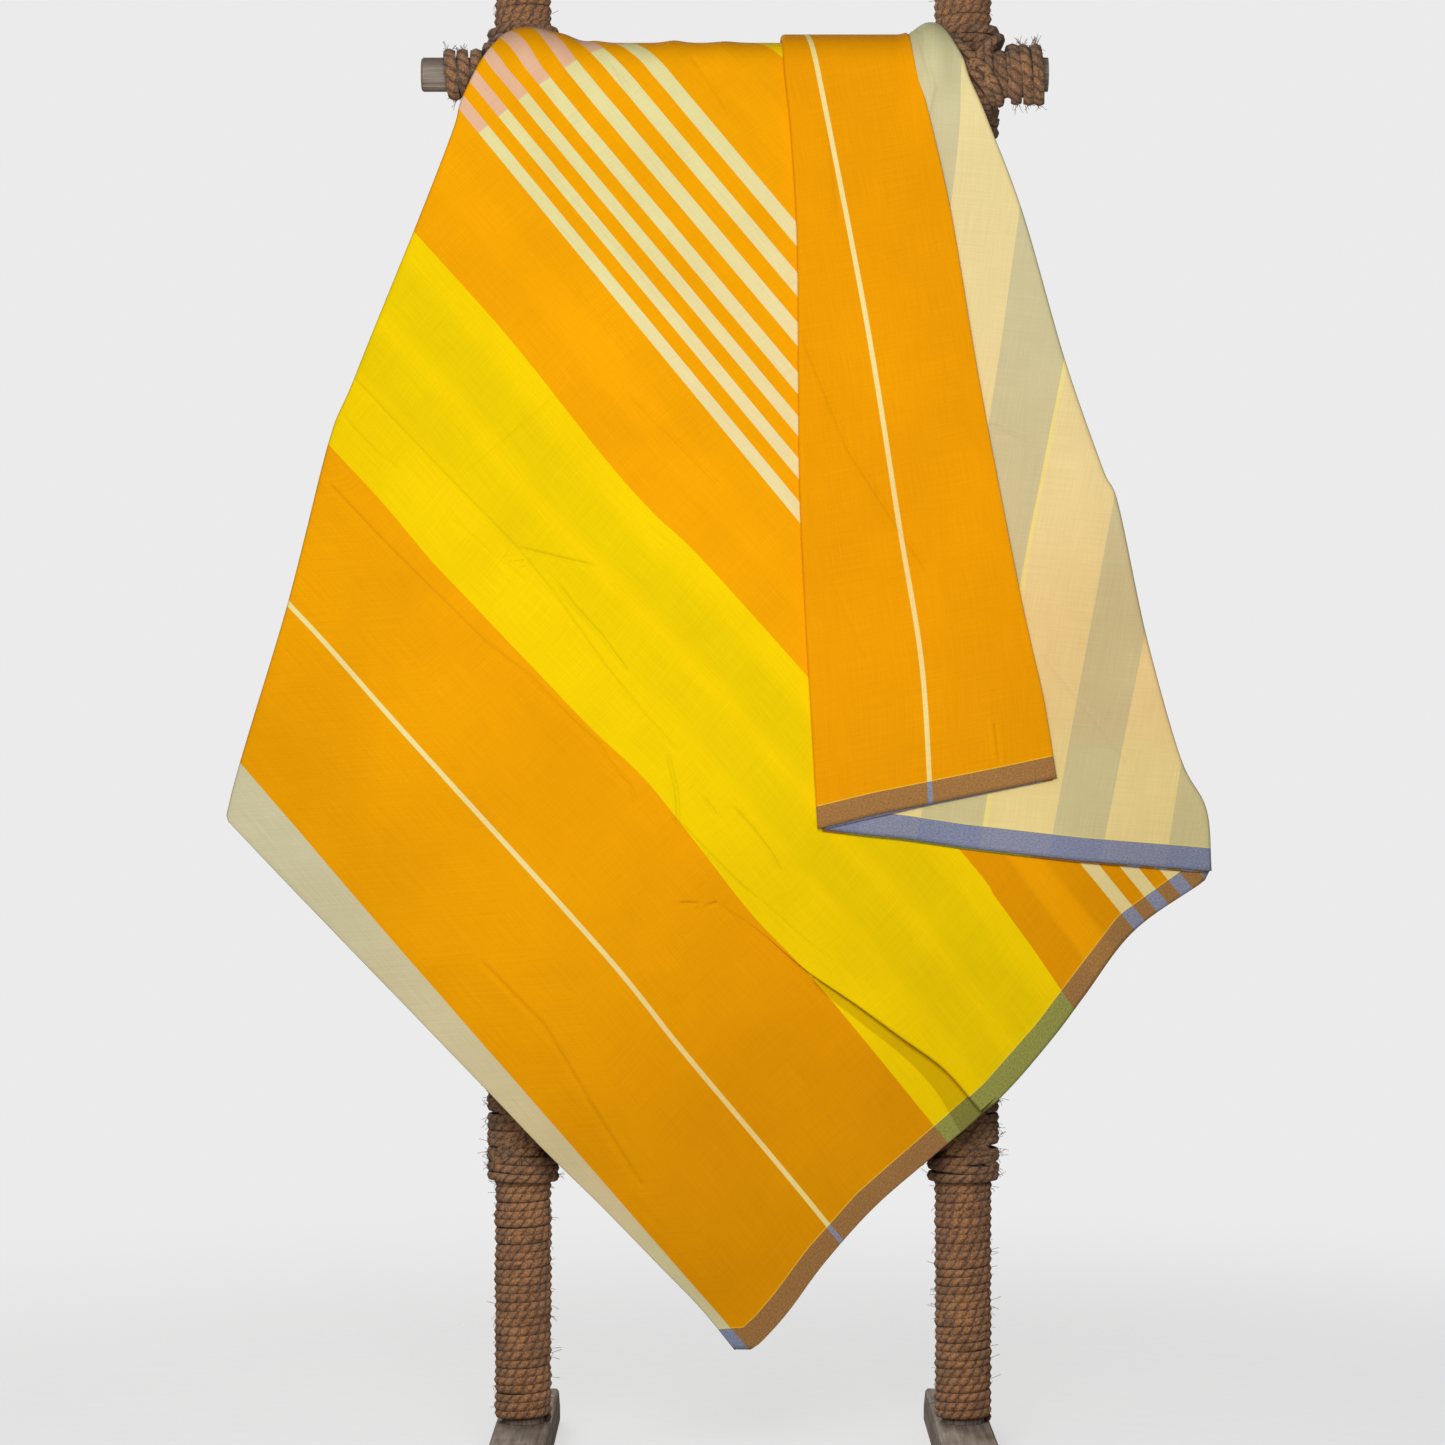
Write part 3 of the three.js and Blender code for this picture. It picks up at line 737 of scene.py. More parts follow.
def pressed(x, height, lines, fade_length=5.0, clear=7.5):
    """How far points lie from the nearest pressed line, in its half widths, and its depth. The
    line's depth fades out past its ends."""
    nearest = np.full(x.shape, far_away)
    marks = np.full(x.shape, 9.0)
    deep = np.zeros(x.shape)
    for line, half_width, depth in lines:
        line = np.array(line, float)
        first, last = line[0] - line[1], line[-1] - line[-2]
        line = np.vstack([line[0] + first * fade_length / math.hypot(*first), line,
                          line[-1] + last * fade_length / math.hypot(*last)])
        for i in range(len(line) - 1):
            share, distance, side = from_segment(x, height, line[i], line[i + 1])
            fade = share if i == 0 else 1 - share if i == len(line) - 2 else 1
            close = distance < nearest
            nearest = np.where(close, distance, nearest)
            marks = np.where(close, side * distance / half_width, marks)
            deep = np.where(close, depth * fade * (distance < clear), deep)
    return marks, deep


def rows_up(foot, step, end, step_over):
    """Heights of a stretch's rows, close in front and wider apart over the rail and behind it."""
    return np.concatenate([np.arange(foot, rows_change, step), np.arange(rows_change, end, step_over)])


def grid_faces(rows, columns, flipped=False):
    """The faces between the points of a grid, seen from in front or, if flipped, from behind."""
    count = np.arange(rows * columns).reshape(rows, columns)
    corners = [count[:-1, :-1], count[:-1, 1:], count[1:, 1:], count[1:, :-1]]
    if flipped:
        corners = [corners[0], *corners[:0:-1]]
    return np.stack(corners, axis=-1).reshape(-1, 4)


def add_map(piece, name, first, second, faces):
    """Gives a piece a UV map of two values that are known at each of its points."""
    layer = piece.data.uv_layers.new(name=name)
    pairs = np.stack([first, second], axis=-1).reshape(-1, 2)
    layer.data.foreach_set("uv", pairs[faces.reshape(-1)].astype(np.float32).ravel())


def stretch_of_cloth(name, left, right, rows, columns, layer, stripes, hem, material,
                     grows_right=True, fold_left=None, fold_right=None, foot=None,
                     creases=(), pressed_lines=(), rise=None, painted_shade=None, far_hem=False):
    """One stretch of the sarong: a thin sheet between a left and a right line, on its layer. A
    folded edge rolls in to the layer that it joins. Its map holds the place in the flat cloth."""
    depth = layer * layer_step + layer_middle
    share = np.linspace(0, 1, columns)[None, :]
    height = np.repeat(rows[:, None], columns, axis=1)
    if foot is not None:
        foot = np.array(foot, float)
        foot_share = (foot[:, 0] - foot[0, 0]) / (foot[-1, 0] - foot[0, 0])
        drop = np.interp(share, foot_share, foot[:, 1]) - foot[0, 1]
        height = height + drop * (1 - ease((rows[:, None] - rows[0]) / foot_reach))
    x_left = np.interp(height, left[:, 1], left[:, 0])
    x_right = np.interp(height, right[:, 1], right[:, 0])
    x = x_left + (x_right - x_left) * share
    deep = np.full_like(x, depth)
    flat_x, flat_height = x, height
    for inner, edge, outward in ((fold_left, 0, -1), (fold_right, -1, 1)):
        if inner is None:
            continue
        inner_depth = np.broadcast_to(inner(height[:, edge]) * layer_step + layer_middle, len(rows))
        roll = (depth - inner_depth) / 2
        edge_x, edge_height = x[:, edge], height[:, edge]
        along = unit(np.stack([np.gradient(edge_x), np.gradient(edge_height)], axis=1))
        normal = outward * np.stack([along[:, 1], -along[:, 0]], axis=1)
        added = []
        for step in range(1, roll_steps + 1):
            angle = math.pi * step / roll_steps
            reach, bent = roll * math.sin(angle), roll * angle
            added.append((edge_x + normal[:, 0] * reach, edge_height + normal[:, 1] * reach,
                          depth - roll * (1 - math.cos(angle)),
                          edge_x + normal[:, 0] * bent, edge_height + normal[:, 1] * bent))
        if outward < 0:
            added.reverse()
        rolled = [np.stack(values, axis=1) for values in zip(*added)]
        grids = [x, height, deep, flat_x, flat_height]
        pairs = zip(rolled, grids) if outward < 0 else zip(grids, rolled)
        x, height, deep, flat_x, flat_height = [np.hstack(pair) for pair in pairs]
    round_it = round_the_tube(flat_x, flat_height, stripes, grows_right)
    from_hem = -beside(flat_x, flat_height, hem)
    whole_length = tube_length * 1000
    if far_hem:
        from_hem = whole_length - from_hem
    hem_distance = np.minimum(from_hem, whole_length - from_hem)
    deep = deep + hem_lift * (1 - ease((hem_distance - hem_width + 2) / 3))
    out = deep - depth + creased(x, height, creases)
    if rise is not None:
        out = out + rise(x, height)
    points = hang(x, height, depth, out)
    faces = grid_faces(*x.shape)
    piece = new_piece(name, points.reshape(-1, 3), faces, material)
    add_map(piece, "cloth", round_it * millimetre, from_hem * millimetre, faces)
    for map_name, lines in zip(pressed_maps, pressed_lines):
        add_map(piece, map_name, *pressed(x, height, lines), faces)
    # A piece that is given one gets a map of where shade is painted under the pleat's lip.
    if painted_shade is not None:
        add_map(piece, "tripled", painted_shade(x, height), np.ones_like(x), faces)
    bpy.ops.object.select_all(action="DESELECT")
    piece.select_set(True)
    bpy.context.view_layer.objects.active = piece
    thickness = piece.modifiers.new("thickness", "SOLIDIFY")
    thickness.thickness = cloth_thickness
    thickness.offset = 0
    bpy.ops.object.modifier_apply(modifier=thickness.name)
    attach(piece, "root")
    return piece


tube_round = 2.063
tube_length = 1.121
pressed_maps = ("pressed one", "pressed two", "pressed three")
stripe_group, _, stripe_out = shared_group(
    "Handloom stripes", [],
    [("Color", "NodeSocketColor"), ("Height", "NodeSocketFloat")])
flat_round, hem_place = map_parts(stripe_group, "cloth")
round_place = calculated("WRAP", flat_round, tube_round, 0.0)


def between(value, start, end):
    """1 where a value lies between two others, and 0 elsewhere."""
    return calculated("COMPARE", value, (start + end) / 2, (end - start) / 2)


def away_from(value, middle):
    """How far a value is from a middle one, to either side."""
    return calculated("ABSOLUTE", calculated("SUBTRACT", value, middle))


# Warp stripes of the orange half. They repeat in reverse to each side of the middle pale stripe.
# Places and widths are in metres round the tube.
orange_middle = 0.5218
orange_end = 1.039
flap_start = 0.83
yellow_band = (0.1513, 0.3019)
thin_band = (0.4080, 0.4118)
pale_reach = 0.0765
stripe_step = 0.0223
stripe_half = 0.0053
from_middle = away_from(round_place, orange_middle)
yellow_bands = between(from_middle, *yellow_band)
# Near the hem the orange is painted darker, fading out by 0.38 m above it, except on the flap: painted
# shade on the low part of the hanging cloth.
low_front_shade = calculated("MULTIPLY",
                       spread(hem_place, 0.04, 0.38, 1.0, 0.0),
                       calculated("LESS_THAN", round_place, flap_start))
orange_shaded_low = mixed(low_front_shade, colour("F6A600"), colour("E79800"))
stripe_colour = mixed(yellow_bands, orange_shaded_low, colour("FAD400"))
# Faint streaks in the warp: the middle of each, its inner and outer half widths, its strength and
# its tone.
for middle, core, rim, strength, tone, how in ((0.1888, 0.0096, 0.024, 0.9, "F4F8FF", "MULTIPLY"),
                                               (0.234, 0.0084, 0.021, 0.9, "F6F9FF", "MULTIPLY"),
                                               (0.108, 0.009, 0.017, 0.7, "FCAA00", "MIX")):
    streak = spread(away_from(from_middle, middle), core, rim, strength, 0.0)
    stripe_colour = mixed(streak, stripe_colour, colour(tone), how)
stripe_colour = mixed(between(round_place, flap_start, orange_end),
                      stripe_colour, colour("FBF5FF"), "MULTIPLY")
in_step = calculated("MODULO", calculated("ADD", from_middle, stripe_step / 2), stripe_step)
pale_stripes = calculated("MULTIPLY",
                          between(in_step, stripe_step / 2 - stripe_half,
                                  stripe_step / 2 + stripe_half),
                          calculated("LESS_THAN", from_middle, pale_reach))
thin_line = between(from_middle, *thin_band)
stripe_colour = mixed(pale_stripes, stripe_colour, colour("EFDFAC"))
stripe_colour = mixed(thin_line, stripe_colour, colour("F8E6A4"))

# Warp stripes of the cream half, where greige bands lie between cream ones.
greige_bands = [(1.0975, 1.1450), (1.1934, 1.2402), (1.2870, 1.3354), (1.3892, 1.4305),
                (1.4812, 1.5304)]
band_width = 0.05327
for band in range(5):
    start = greige_bands[4][1] + band_width * (2 * band + 1)
    greige_bands.append((start, start + band_width))
greige = between(round_place, *greige_bands[0])
for start, end in greige_bands[1:]:
    greige = calculated("MAXIMUM", greige, between(round_place, start, end))
cream_line = (1.3354, 1.3385)
last_band = (1.95, 2.2)
cream_colour = mixed(greige, colour("F2DFAA"), colour("D6CDA8"))
for band, tone in ((cream_line, "F6E79C"), (last_band, "DAD5B6")):
    cream_colour = mixed(between(round_place, *band), cream_colour, colour(tone))
cream_half = calculated("GREATER_THAN", round_place, orange_end)
stripe_colour = mixed(cream_half, stripe_colour, cream_colour)

# Weft: its colour changes in broad bands from hem to hem and tints the stripes.
weft = place(stripe_group, "ShaderNodeValToRGB")
feed(calculated("DIVIDE", hem_place, tube_length), weft.inputs["Fac"])
weft_bands = [(0.0, "FFFAE0"), (0.07, "FFF8E0"), (0.10, "FFEFD8"), (0.17, "FFEFD8"),
              (0.26, "FFF6E4"), (0.36, "FFFCF0"), (0.50, "FFFEF2"), (0.60, "F8FFEC"), (1.0, "F6FFEC")]
weft.color_ramp.elements[0].color = colour(weft_bands[0][1])
weft.color_ramp.elements[-1].color = colour(weft_bands[-1][1])
for position, code in weft_bands[1:-1]:
    weft.color_ramp.elements.new(position).color = colour(code)
peach_band = (0.8055, 0.8075)
pale_places = calculated("MAXIMUM", cream_half, calculated("MAXIMUM", pale_stripes, thin_line))
stripe_colour = mixed(spread(pale_places, 0.0, 1.0, 0.15, 1.0),
                      stripe_colour, weft.outputs["Color"], "MULTIPLY")
past_tint = spread(hem_place, *peach_band)
stripe_colour = mixed(calculated("MULTIPLY", past_tint, pale_places),
                      stripe_colour, colour("FFD4F3"), "MULTIPLY")

# The hems, turned twice: a blue-grey weft that darkens the stripes, and one bright pick above it.
hem_height = hem_width * millimetre
pick_top = 0.0178
pick_strength = 0.4
hem_brown = (0.215, 0.150, 0.100, 1.0)
from_hem = calculated("MINIMUM", hem_place, calculated("SUBTRACT", tube_length, hem_place))
in_hem = calculated("LESS_THAN", from_hem, hem_height)
hem_edge = calculated("MULTIPLY", pick_strength, between(from_hem, hem_height, pick_top))
stripe_colour = mixed(hem_edge, stripe_colour, colour("F6E050"))
hem_dark = mixed(0.68, stripe_colour, hem_brown)
hem_dark = mixed(yellow_bands, hem_dark, colour("A0A052"))
hem_blue = mixed(0.84, stripe_colour, colour("7885B2"))
stripe_colour = mixed(in_hem, stripe_colour, mixed(pale_places, hem_dark, hem_blue))

# Threads: long uneven yarns both ways, and the plain weave itself.
thread_spacing = 0.0009
weave_height = 0.25
slub_tones = [noise(stretched(flat_round, round_scale, hem_place, along_scale), 1.0, 2.0, 0.6)
              for round_scale, along_scale in ((900.0, 22.0), (22.0, 1100.0))]
slubs = calculated("ADD", *slub_tones)
thread_waves = [calculated("SINE", calculated("MULTIPLY", flat_value, 2 * math.pi / thread_spacing))
                for flat_value in (flat_round, hem_place)]
weave = calculated("MULTIPLY", *thread_waves)
feed(calculated("ADD", slubs, calculated("MULTIPLY", weave, weave_height)), stripe_out.inputs["Height"])
hem_threads = noise(stretched(flat_round, 520.0, hem_place, 900.0), 1.0, 2.0, 0.7)
thread_tone = mixed(spread(hem_threads, 0.35, 0.65), colour("DADADA"), colour("FFFFFF"))
plain_tone = mixed(spread(slubs, 0.6, 1.4), colour("F4F4F4"), colour("FFFFFF"))
# Broad soft patches a few percent darker all over the cloth: painted shade of its low folds.
broad_mottle = noise(place_points(stripe_group), 9.0, 3.0, 0.55)
mottled_painted_shade = mixed(spread(broad_mottle, 0.3, 0.7), colour("F7F5F2"), colour("FFFFFF"))
for tone in (mixed(in_hem, plain_tone, thread_tone), mottled_painted_shade):
    stripe_colour = mixed(1.0, stripe_colour, tone, "MULTIPLY")
feed(stripe_colour, stripe_out.inputs["Color"])

# Pressed creases: sharp fine lines where the cloth was folded away, pressed through its layers.
# Their maps hold how far a point lies from the line, in half widths, and the line's depth.
crease_group, crease_in, crease_out = shared_group(
    "Pressed crease", [("Map", "NodeSocketVector", (9.0, 0.0, 0.0))],
    [("Height", "NodeSocketFloat")])
crease_map = place(crease_group, "ShaderNodeSeparateXYZ")
feed(crease_in.outputs["Map"], crease_map.inputs[0])
crease_squared = calculated("MULTIPLY", crease_map.outputs[0], crease_map.outputs[0])
crease_fall = calculated("EXPONENT", calculated("MULTIPLY", crease_squared, -1.0))
feed(calculated("MULTIPLY", crease_fall, crease_map.outputs[1]), crease_out.inputs["Height"])

# The cotton: the stripes, with painted shade in the hollow under the pleat's lip, over a bump of threads
# and pressed creases.
thread_height = 0.00014
cotton, cotton_tree, cotton_shader = principled("handloom_cotton", Roughness=0.85,
                                                Sheen_Weight=0.01, Sheen_Roughness=0.5)
cotton_shader.inputs["Specular IOR Level"].default_value = 0.05
stripes_used = use_group(cotton_tree, stripe_group)
# The wedge under the pleat's lip is painted darker: painted shade in the hollow there.
past_lip, on_front = map_parts(cotton_tree, "tripled")
painted_pleat_shade = calculated("MULTIPLY", spread(past_lip, -0.4, 0.8), on_front)
feed(mixed(painted_pleat_shade, stripes_used["Color"], colour("E2DCD0"), "MULTIPLY"),
     cotton_shader.inputs["Base Color"])
cloth_height = calculated("MULTIPLY", stripes_used["Height"], thread_height)
for map_name in pressed_maps:
    crease_uv = place(cotton_tree, "ShaderNodeUVMap", uv_map=map_name).outputs["UV"]
    crease = use_group(cotton_tree, crease_group, Map=crease_uv)["Height"]
    cloth_height = calculated("ADD", cloth_height, calculated("MULTIPLY", crease, millimetre))
bumped(cotton_shader, cloth_height, 1.0)

tip = (-6, 101)
left_corner = (-404, 514)
lower_left_fold = [tip, (-34, 135), (-65, 167), (-112, 215), (-155, 257), (-198, 302),
                   (-252, 358), (-307, 414), (-358, 466), left_corner]
left_fold = [left_corner, (-393, 557), (-355, 682), (-323, 808), (-303, 857), (-256, 972),
             (-225, 1052), (-219, 1073), (-206, 1100), (-193, 1119), (-184, 1132), (-173, 1146)]
front_hem = [tip, (7, 102), (22, 116), (38, 135), (63, 169), (100, 210), (147, 251),
             (200, 297), (241, 344), (266, 377), (305, 427), (361, 466)]
right_fold = [(366, 476), (360, 522), (340, 561), (313, 655), (290, 760), (278, 787),
              (248, 873), (216, 986), (188, 1060), (174, 1091), (169, 1106), (161, 1121), (149, 1146)]
front_stripes = [
    (0.0, [(4, 102), (-393, 557)]),
    (111.9, [(75, 187), (36, 235), (-48, 335), (-112, 414), (-266, 584), (-323, 648), (-355, 682)]),
    (220.0, [(151, 273), (98, 338), (50, 395), (7, 440), (-33, 491), (-76, 545), (-119, 586),
             (-167, 636), (-208, 679), (-245, 718), (-281, 761), (-323, 806)]),
    (370.5, [(252, 375), (227, 412), (198, 452), (166, 494), (-18, 702), (-70, 753), (-109, 797),
             (-182, 889), (-256, 972)]),
    (448.5, [(305, 427), (-220, 1065)]),
    (521.8, [(369, 467), (-184, 1123)]),
    (595.1, [(311, 662), (-77, 1123)]),
    (673.1, [(239, 877), (21, 1121)]),
]
front_creases = [
    (-303, 857, -148, 690, 14, -0.8), (-109, 635, -54, 570, 12, -0.8), (-160, 705, -90, 628, 10, 1.2),
    (-322, 774, -199, 650, 16, 1.1), (-199, 650, -90, 541, 12, 1.4), (-142, 825, -245, 736, 13, -0.8),
    (-123, 868, 26, 733, 18, 1.3), (-18, 520, 27, 476, 9, -0.8),
    (-202, 401, -156, 354, 12, 1.5), (-156, 354, -113, 282, 14, 1.8), (-113, 282, -70, 200, 14, 1.4),
    (-60, 397, -55, 378, 7, 1.5), (-330, 480, -250, 400, 18, 1.5), (10, 180, 60, 260, 18, 1.3),
    (-78, 1104, -114, 1034, 9, 1.8), (-118, 1100, -156, 1030, 11, 1.7),
    (-100, 1102, -134, 1032, 9, -0.6), (-56, 970, -40, 900, 18, 1.2), (50, 400, 165, 292, 9, -0.8),
    (-230, 560, -120, 450, 20, 1.0), (100, 560, 240, 430, 20, 1.0), (30, 700, 46, 560, 16, 1.0),
    (-170, 1088, -166, 1185, 19, 6.5), (-125, 1095, -112, 1165, 9, 1.6), (-62, 1075, -50, 1175, 9, 1.8),
    (-18, 1090, -12, 1160, 10, 1.1), (-30, 1270, -10, 1560, 16, 2.6),
    (40, 1240, 52, 1500, 14, 2.2), (-90, 1240, -40, 1420, 14, 2.4),
]
front_pressed = (
    [([(-303, 857), (-245, 796), (-220, 770), (-175, 724), (-148, 690), (-109, 635), (-81, 600),
       (-54, 570)], 1.8, -0.75),
     ([(-322, 774), (-282, 732), (-244, 694), (-199, 650), (-167, 626), (-132, 590), (-113, 573),
       (-97, 548), (-89, 541), (-84, 530)], 1.9, -0.9),
     ([(-85, 842), (-43, 800), (-20, 776)], 1.7, -0.7),
     ([(-53, 514), (-7, 467), (55, 412), (127, 354), (172, 311)], 1.9, -1.0),
     ([(-202, 401), (-156, 354), (-113, 282), (-81, 231)], 2.4, -1.1)],
    [([(-142, 694), (-132, 681), (-111, 658), (-92, 632)], 1.7, -1.1),
     ([(-146, 845), (-167, 826), (-214, 786)], 1.7, -0.6),
     ([(-58, 561), (-52, 536), (-51, 515)], 1.7, -1.1),
     ([(-5, 521), (7, 507), (20, 490), (28, 476)], 1.6, -0.9),
     ([(-47, 449), (-39, 449)], 1.6, -1.2), ([(-26, 448), (-19, 450), (0, 437)], 1.6, -1.2),
     ([(-100, 1102), (-89, 1082)], 2.0, -0.9), ([(-56, 970), (-50, 920)], 2.6, -0.6)],
    [([(-170, 725), (-142, 718), (-120, 713)], 1.7, -1.0),
     ([(-226, 747), (-200, 725), (-172, 702)], 1.7, -0.4),
     ([(-312, 828), (-286, 800), (-270, 788)], 1.7, -0.5), ([(-30, 530), (-22, 519)], 1.5, -0.8),
     ([(-154, 1026), (-110, 975), (-75, 935), (-40, 894)], 1.8, -0.6),
     ([(-38, 1108), (-26, 1090), (-14, 1071)], 2.2, -0.7)],
)


def past_rail(layer, points):
    """Points of a stretch's edge behind the rail, given by how high they hang there."""
    level = over_rail(layer * layer_step + layer_middle) + rail_height
    return [(x, level - z) for x, z in points]


turned_layer, turned_inner_layer, back_layer, front_layer = 0, 1, 2, 3
under_layer, pale_layer, flap_under_layer, flap_layer = 4.4, 5.4, 6.8, 7.8
front_left = np.vstack([
    soft_line(lower_left_fold),
    soft_line(left_fold + [(-152, 1172)] + past_rail(front_layer, [
        (-138, 1090), (-110, 1000), (-76, 900), (-42, 800), (-12, 712), (6, 662), (34, 654)]))[1:],
])
front_right = np.vstack([
    soft_line(front_hem),
    soft_line(right_fold + [(140, 1170)] + past_rail(front_layer, [
        (137, 1090), (118, 1000), (98, 900), (84, 800), (74, 700), (66, 646)])),
])
front_rows = rows_up(101.4, 4.2, front_right[-1, 1], 8.0)
pleat_line = soft_line([(-21, 451), (12, 428), (50, 397), (89, 371), (124, 346), (158, 321),
                        (186, 289)])
pleat_root = soft_line([(47, 403), (58, 383), (92, 355), (126, 328), (150, 302), (168, 272)])
pleat_start = (-21, 451)
pleat_length = 262.0
pleat_reach = 17.0
pleat_height = 5.0
hollow_depth = 5.0


def pleat_opening(x, height):
    """How far the pleat has opened: 0 where it starts and 1 at the hem."""
    start_x, start_height = pleat_start
    return ease(((x - start_x) * 0.79 + (start_height - height) * 0.61) / pleat_length * 1.25)


def pleat_hollow(x, height):
    """The hollow below the pleat's lip, which the walls of the tube share. It widens to the hem."""
    opened = pleat_opening(x, height)
    below = beside(x, height, pleat_line)
    hollow_width = 6 + 14 * opened
    slope = np.where(below > 0, 1 - below / hollow_width, 1 + below / 10)
    return -hollow_depth * opened * np.clip(slope, 0, 1) * (height < pleat_start[1] + 1)


def pleat_shade_wedge(x, height):
    """How far points lie inside the wedge where the pleat doubles back under the front wall. Shade is
    painted on the front there, in the hollow under the lip.
    """
    return np.minimum(beside(x, height, pleat_line), -beside(x, height, pleat_root))


front = stretch_of_cloth(
    "sarong_front", front_left, front_right, front_rows, 148, front_layer, front_stripes,
    front_hem, cotton, creases=front_creases, pressed_lines=front_pressed, rise=pleat_hollow,
    painted_shade=pleat_shade_wedge,
    fold_left=lambda height: np.where(height < 514, back_layer, turned_layer))
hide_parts("front", "left_fold", "lower_left_fold", "drop_front")

# The sarong: the pleat at the hem
# A narrow fold of the front that was pressed in, and opens downwards to the hem. Its lip overhangs
# a shaded hollow and its upper side runs out into the front.
pleat_across = unit(np.stack([-np.gradient(pleat_line[:, 1]), np.gradient(pleat_line[:, 0])],
                             axis=1))
above_lip = np.concatenate([np.zeros(roll_steps), np.linspace(0, pleat_reach + 3, 14)])
x = pleat_line[:, :1] + pleat_across[:, :1] * above_lip
height = pleat_line[:, 1:] + pleat_across[:, 1:] * above_lip
opened = pleat_opening(x, height)
out = pleat_height * opened * (1 - above_lip / pleat_reach) + 0.3
roll_angle = math.pi * np.arange(roll_steps, 0, -1) / roll_steps
roll_size = 0.4 * pleat_height * opened[:, :roll_steps] + 0.15
x[:, :roll_steps] -= pleat_across[:, :1] * roll_size * np.sin(roll_angle)
height[:, :roll_steps] -= pleat_across[:, 1:] * roll_size * np.sin(roll_angle)
out[:, :roll_steps] -= roll_size * (1 - np.cos(roll_angle))
points = hang(x, height, front_layer * layer_step + layer_middle, out)
faces = grid_faces(*x.shape, flipped=True)
pleat = new_piece("sarong_pleat", points.reshape(-1, 3), faces, cotton)
add_map(pleat, "cloth", round_the_tube(x, height, front_stripes) * millimetre,
        -beside(x, height, front_hem) * millimetre, faces)
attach(pleat, "root")
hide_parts("hem_pleat")

# The sarong: the back of the tube
# The tube's other wall, of the same cotton, close behind the front one. It passes over the rail
# inside the front one, and its greige and cream stripes show from behind.
back_stripes = [(2063.0, [(-2, 99), (-553, 651)]), (1519.4, [(365, 485), (-185, 1037)])]
back_hem = [(x - 1.5, height + 1.5) for x, height in front_hem]
back_creases = [
    (-230, 420, -60, 520, 12, -1.8), (-110, 300, 60, 480, 14, -2.0), (30, 220, 170, 400, 13, -1.8),
    (170, 560, 215, 800, 14, -1.8), (130, 470, 300, 520, 12, -1.6),
]
back_left = np.vstack([
    soft_line(lower_left_fold) + (1.0, 1.0),
    soft_line(left_fold + [(-150, 1170)] + past_rail(back_layer, [
        (-133, 1090), (-105, 1000), (-71, 900), (-37, 800), (-7, 725), (24, 716)]))[1:] + (1.0, 1.0),
])
back_right = np.vstack([
    soft_line(back_hem),
    soft_line(right_fold + [(138, 1170)] + past_rail(back_layer, [
        (132, 1090), (113, 1000), (93, 900), (79, 800), (70, 708)])) - (1.5, 0),
])
back_rows = rows_up(103.5, 6.0, back_right[-1, 1], 9.0)
back = stretch_of_cloth(
    "sarong_back", back_left, back_right, back_rows, 100, back_layer, back_stripes, back_hem,
    cotton, grows_right=False, creases=back_creases, rise=pleat_hollow)
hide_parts("back", "drop_back")

# The sarong: what is turned back behind the left fold
# Both walls of the tube go on behind the left fold, as far as the tube's other hem. The front wall
# comes out at the back, and the other one lies inside it.
turned_hem = [(125, 623), (113, 670), (99, 779), (82, 891), (76, 985), (73, 1052), (71, 1147)]
turned_foot = [left_corner, (-230, 551), (-60, 588), (125, 623)]
turned_stripes = [
    (0.0, [(-393, 557), (65, 654)]), (111.9, [(-355, 682), (103, 779)]),
    (220.0, [(-323, 808), (136, 905)]), (370.5, [(-256, 972), (202, 1069)]),
    (448.5, [(-220, 1065), (239, 1162)]), (521.8, [(-179, 1127), (279, 1224)]),
]
turned_creases = [
    (-330, 640, -60, 690, 12, -1.8), (-280, 780, 40, 860, 15, -1.6), (-120, 640, -40, 900, 13, -1.4),
    (-200, 930, 60, 990, 14, -1.4),
]
turned_left = soft_line(left_fold) + (0.6, 0)
turned_right = soft_line(turned_hem)
turned_rows = np.arange(514.5, 1138, 5.0)
turned = stretch_of_cloth(
    "sarong_turned_back", turned_left, turned_right, turned_rows, 90, turned_layer,
    turned_stripes, turned_hem, cotton, grows_right=False, foot=turned_foot,
    creases=turned_creases, far_hem=True)
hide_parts("turned_back")
inner_stripes = [(2058.0, [(-393, 557), (60, 595)]), (1471.0, [(-203, 1100), (250, 1138)])]
inner_hem = [(x + 9, height) for x, height in turned_hem]
turned_inner = stretch_of_cloth(
    "sarong_turned_back_inner", turned_left, soft_line(inner_hem), turned_rows, 90,
    turned_inner_layer, inner_stripes, inner_hem, cotton, foot=turned_foot,
    creases=turned_creases, far_hem=True, grows_right=False)
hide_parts("turned_back_inner")

# The sarong: what is folded under at the right
# The front wall doubles back under the pale panel. Only its hem's edge shows, below the panel's.
pale_hem = [(60, 508), (93, 504), (124, 501), (170, 494), (262, 483.5), (363, 475)]
under_hem = [(x, height - 1.6) for x, height in pale_hem]
flap_left_fold = [(60, 508), (55, 592), (50, 680), (46, 770), (45, 860), (44, 967), (39, 1052),
                  (34, 1100), (32, 1147)]
under_left = soft_line([(60, 505)] + flap_left_fold[1:]) + (1.5, 0)
under_right = soft_line([(363, 473), (359, 522)] + [(x - 1.5, h) for x, h in right_fold[2:]])
under_stripes = [(521.8, [(369, 467), (335, 960)]), (844.0, [(60, 508), (26, 1001)])]
under = stretch_of_cloth(
    "sarong_folded_under", under_left, under_right, np.arange(505.4, 1146, 7.0), 50, under_layer,
    under_stripes, under_hem, cotton, grows_right=False, foot=under_hem)
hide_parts("fold_under")

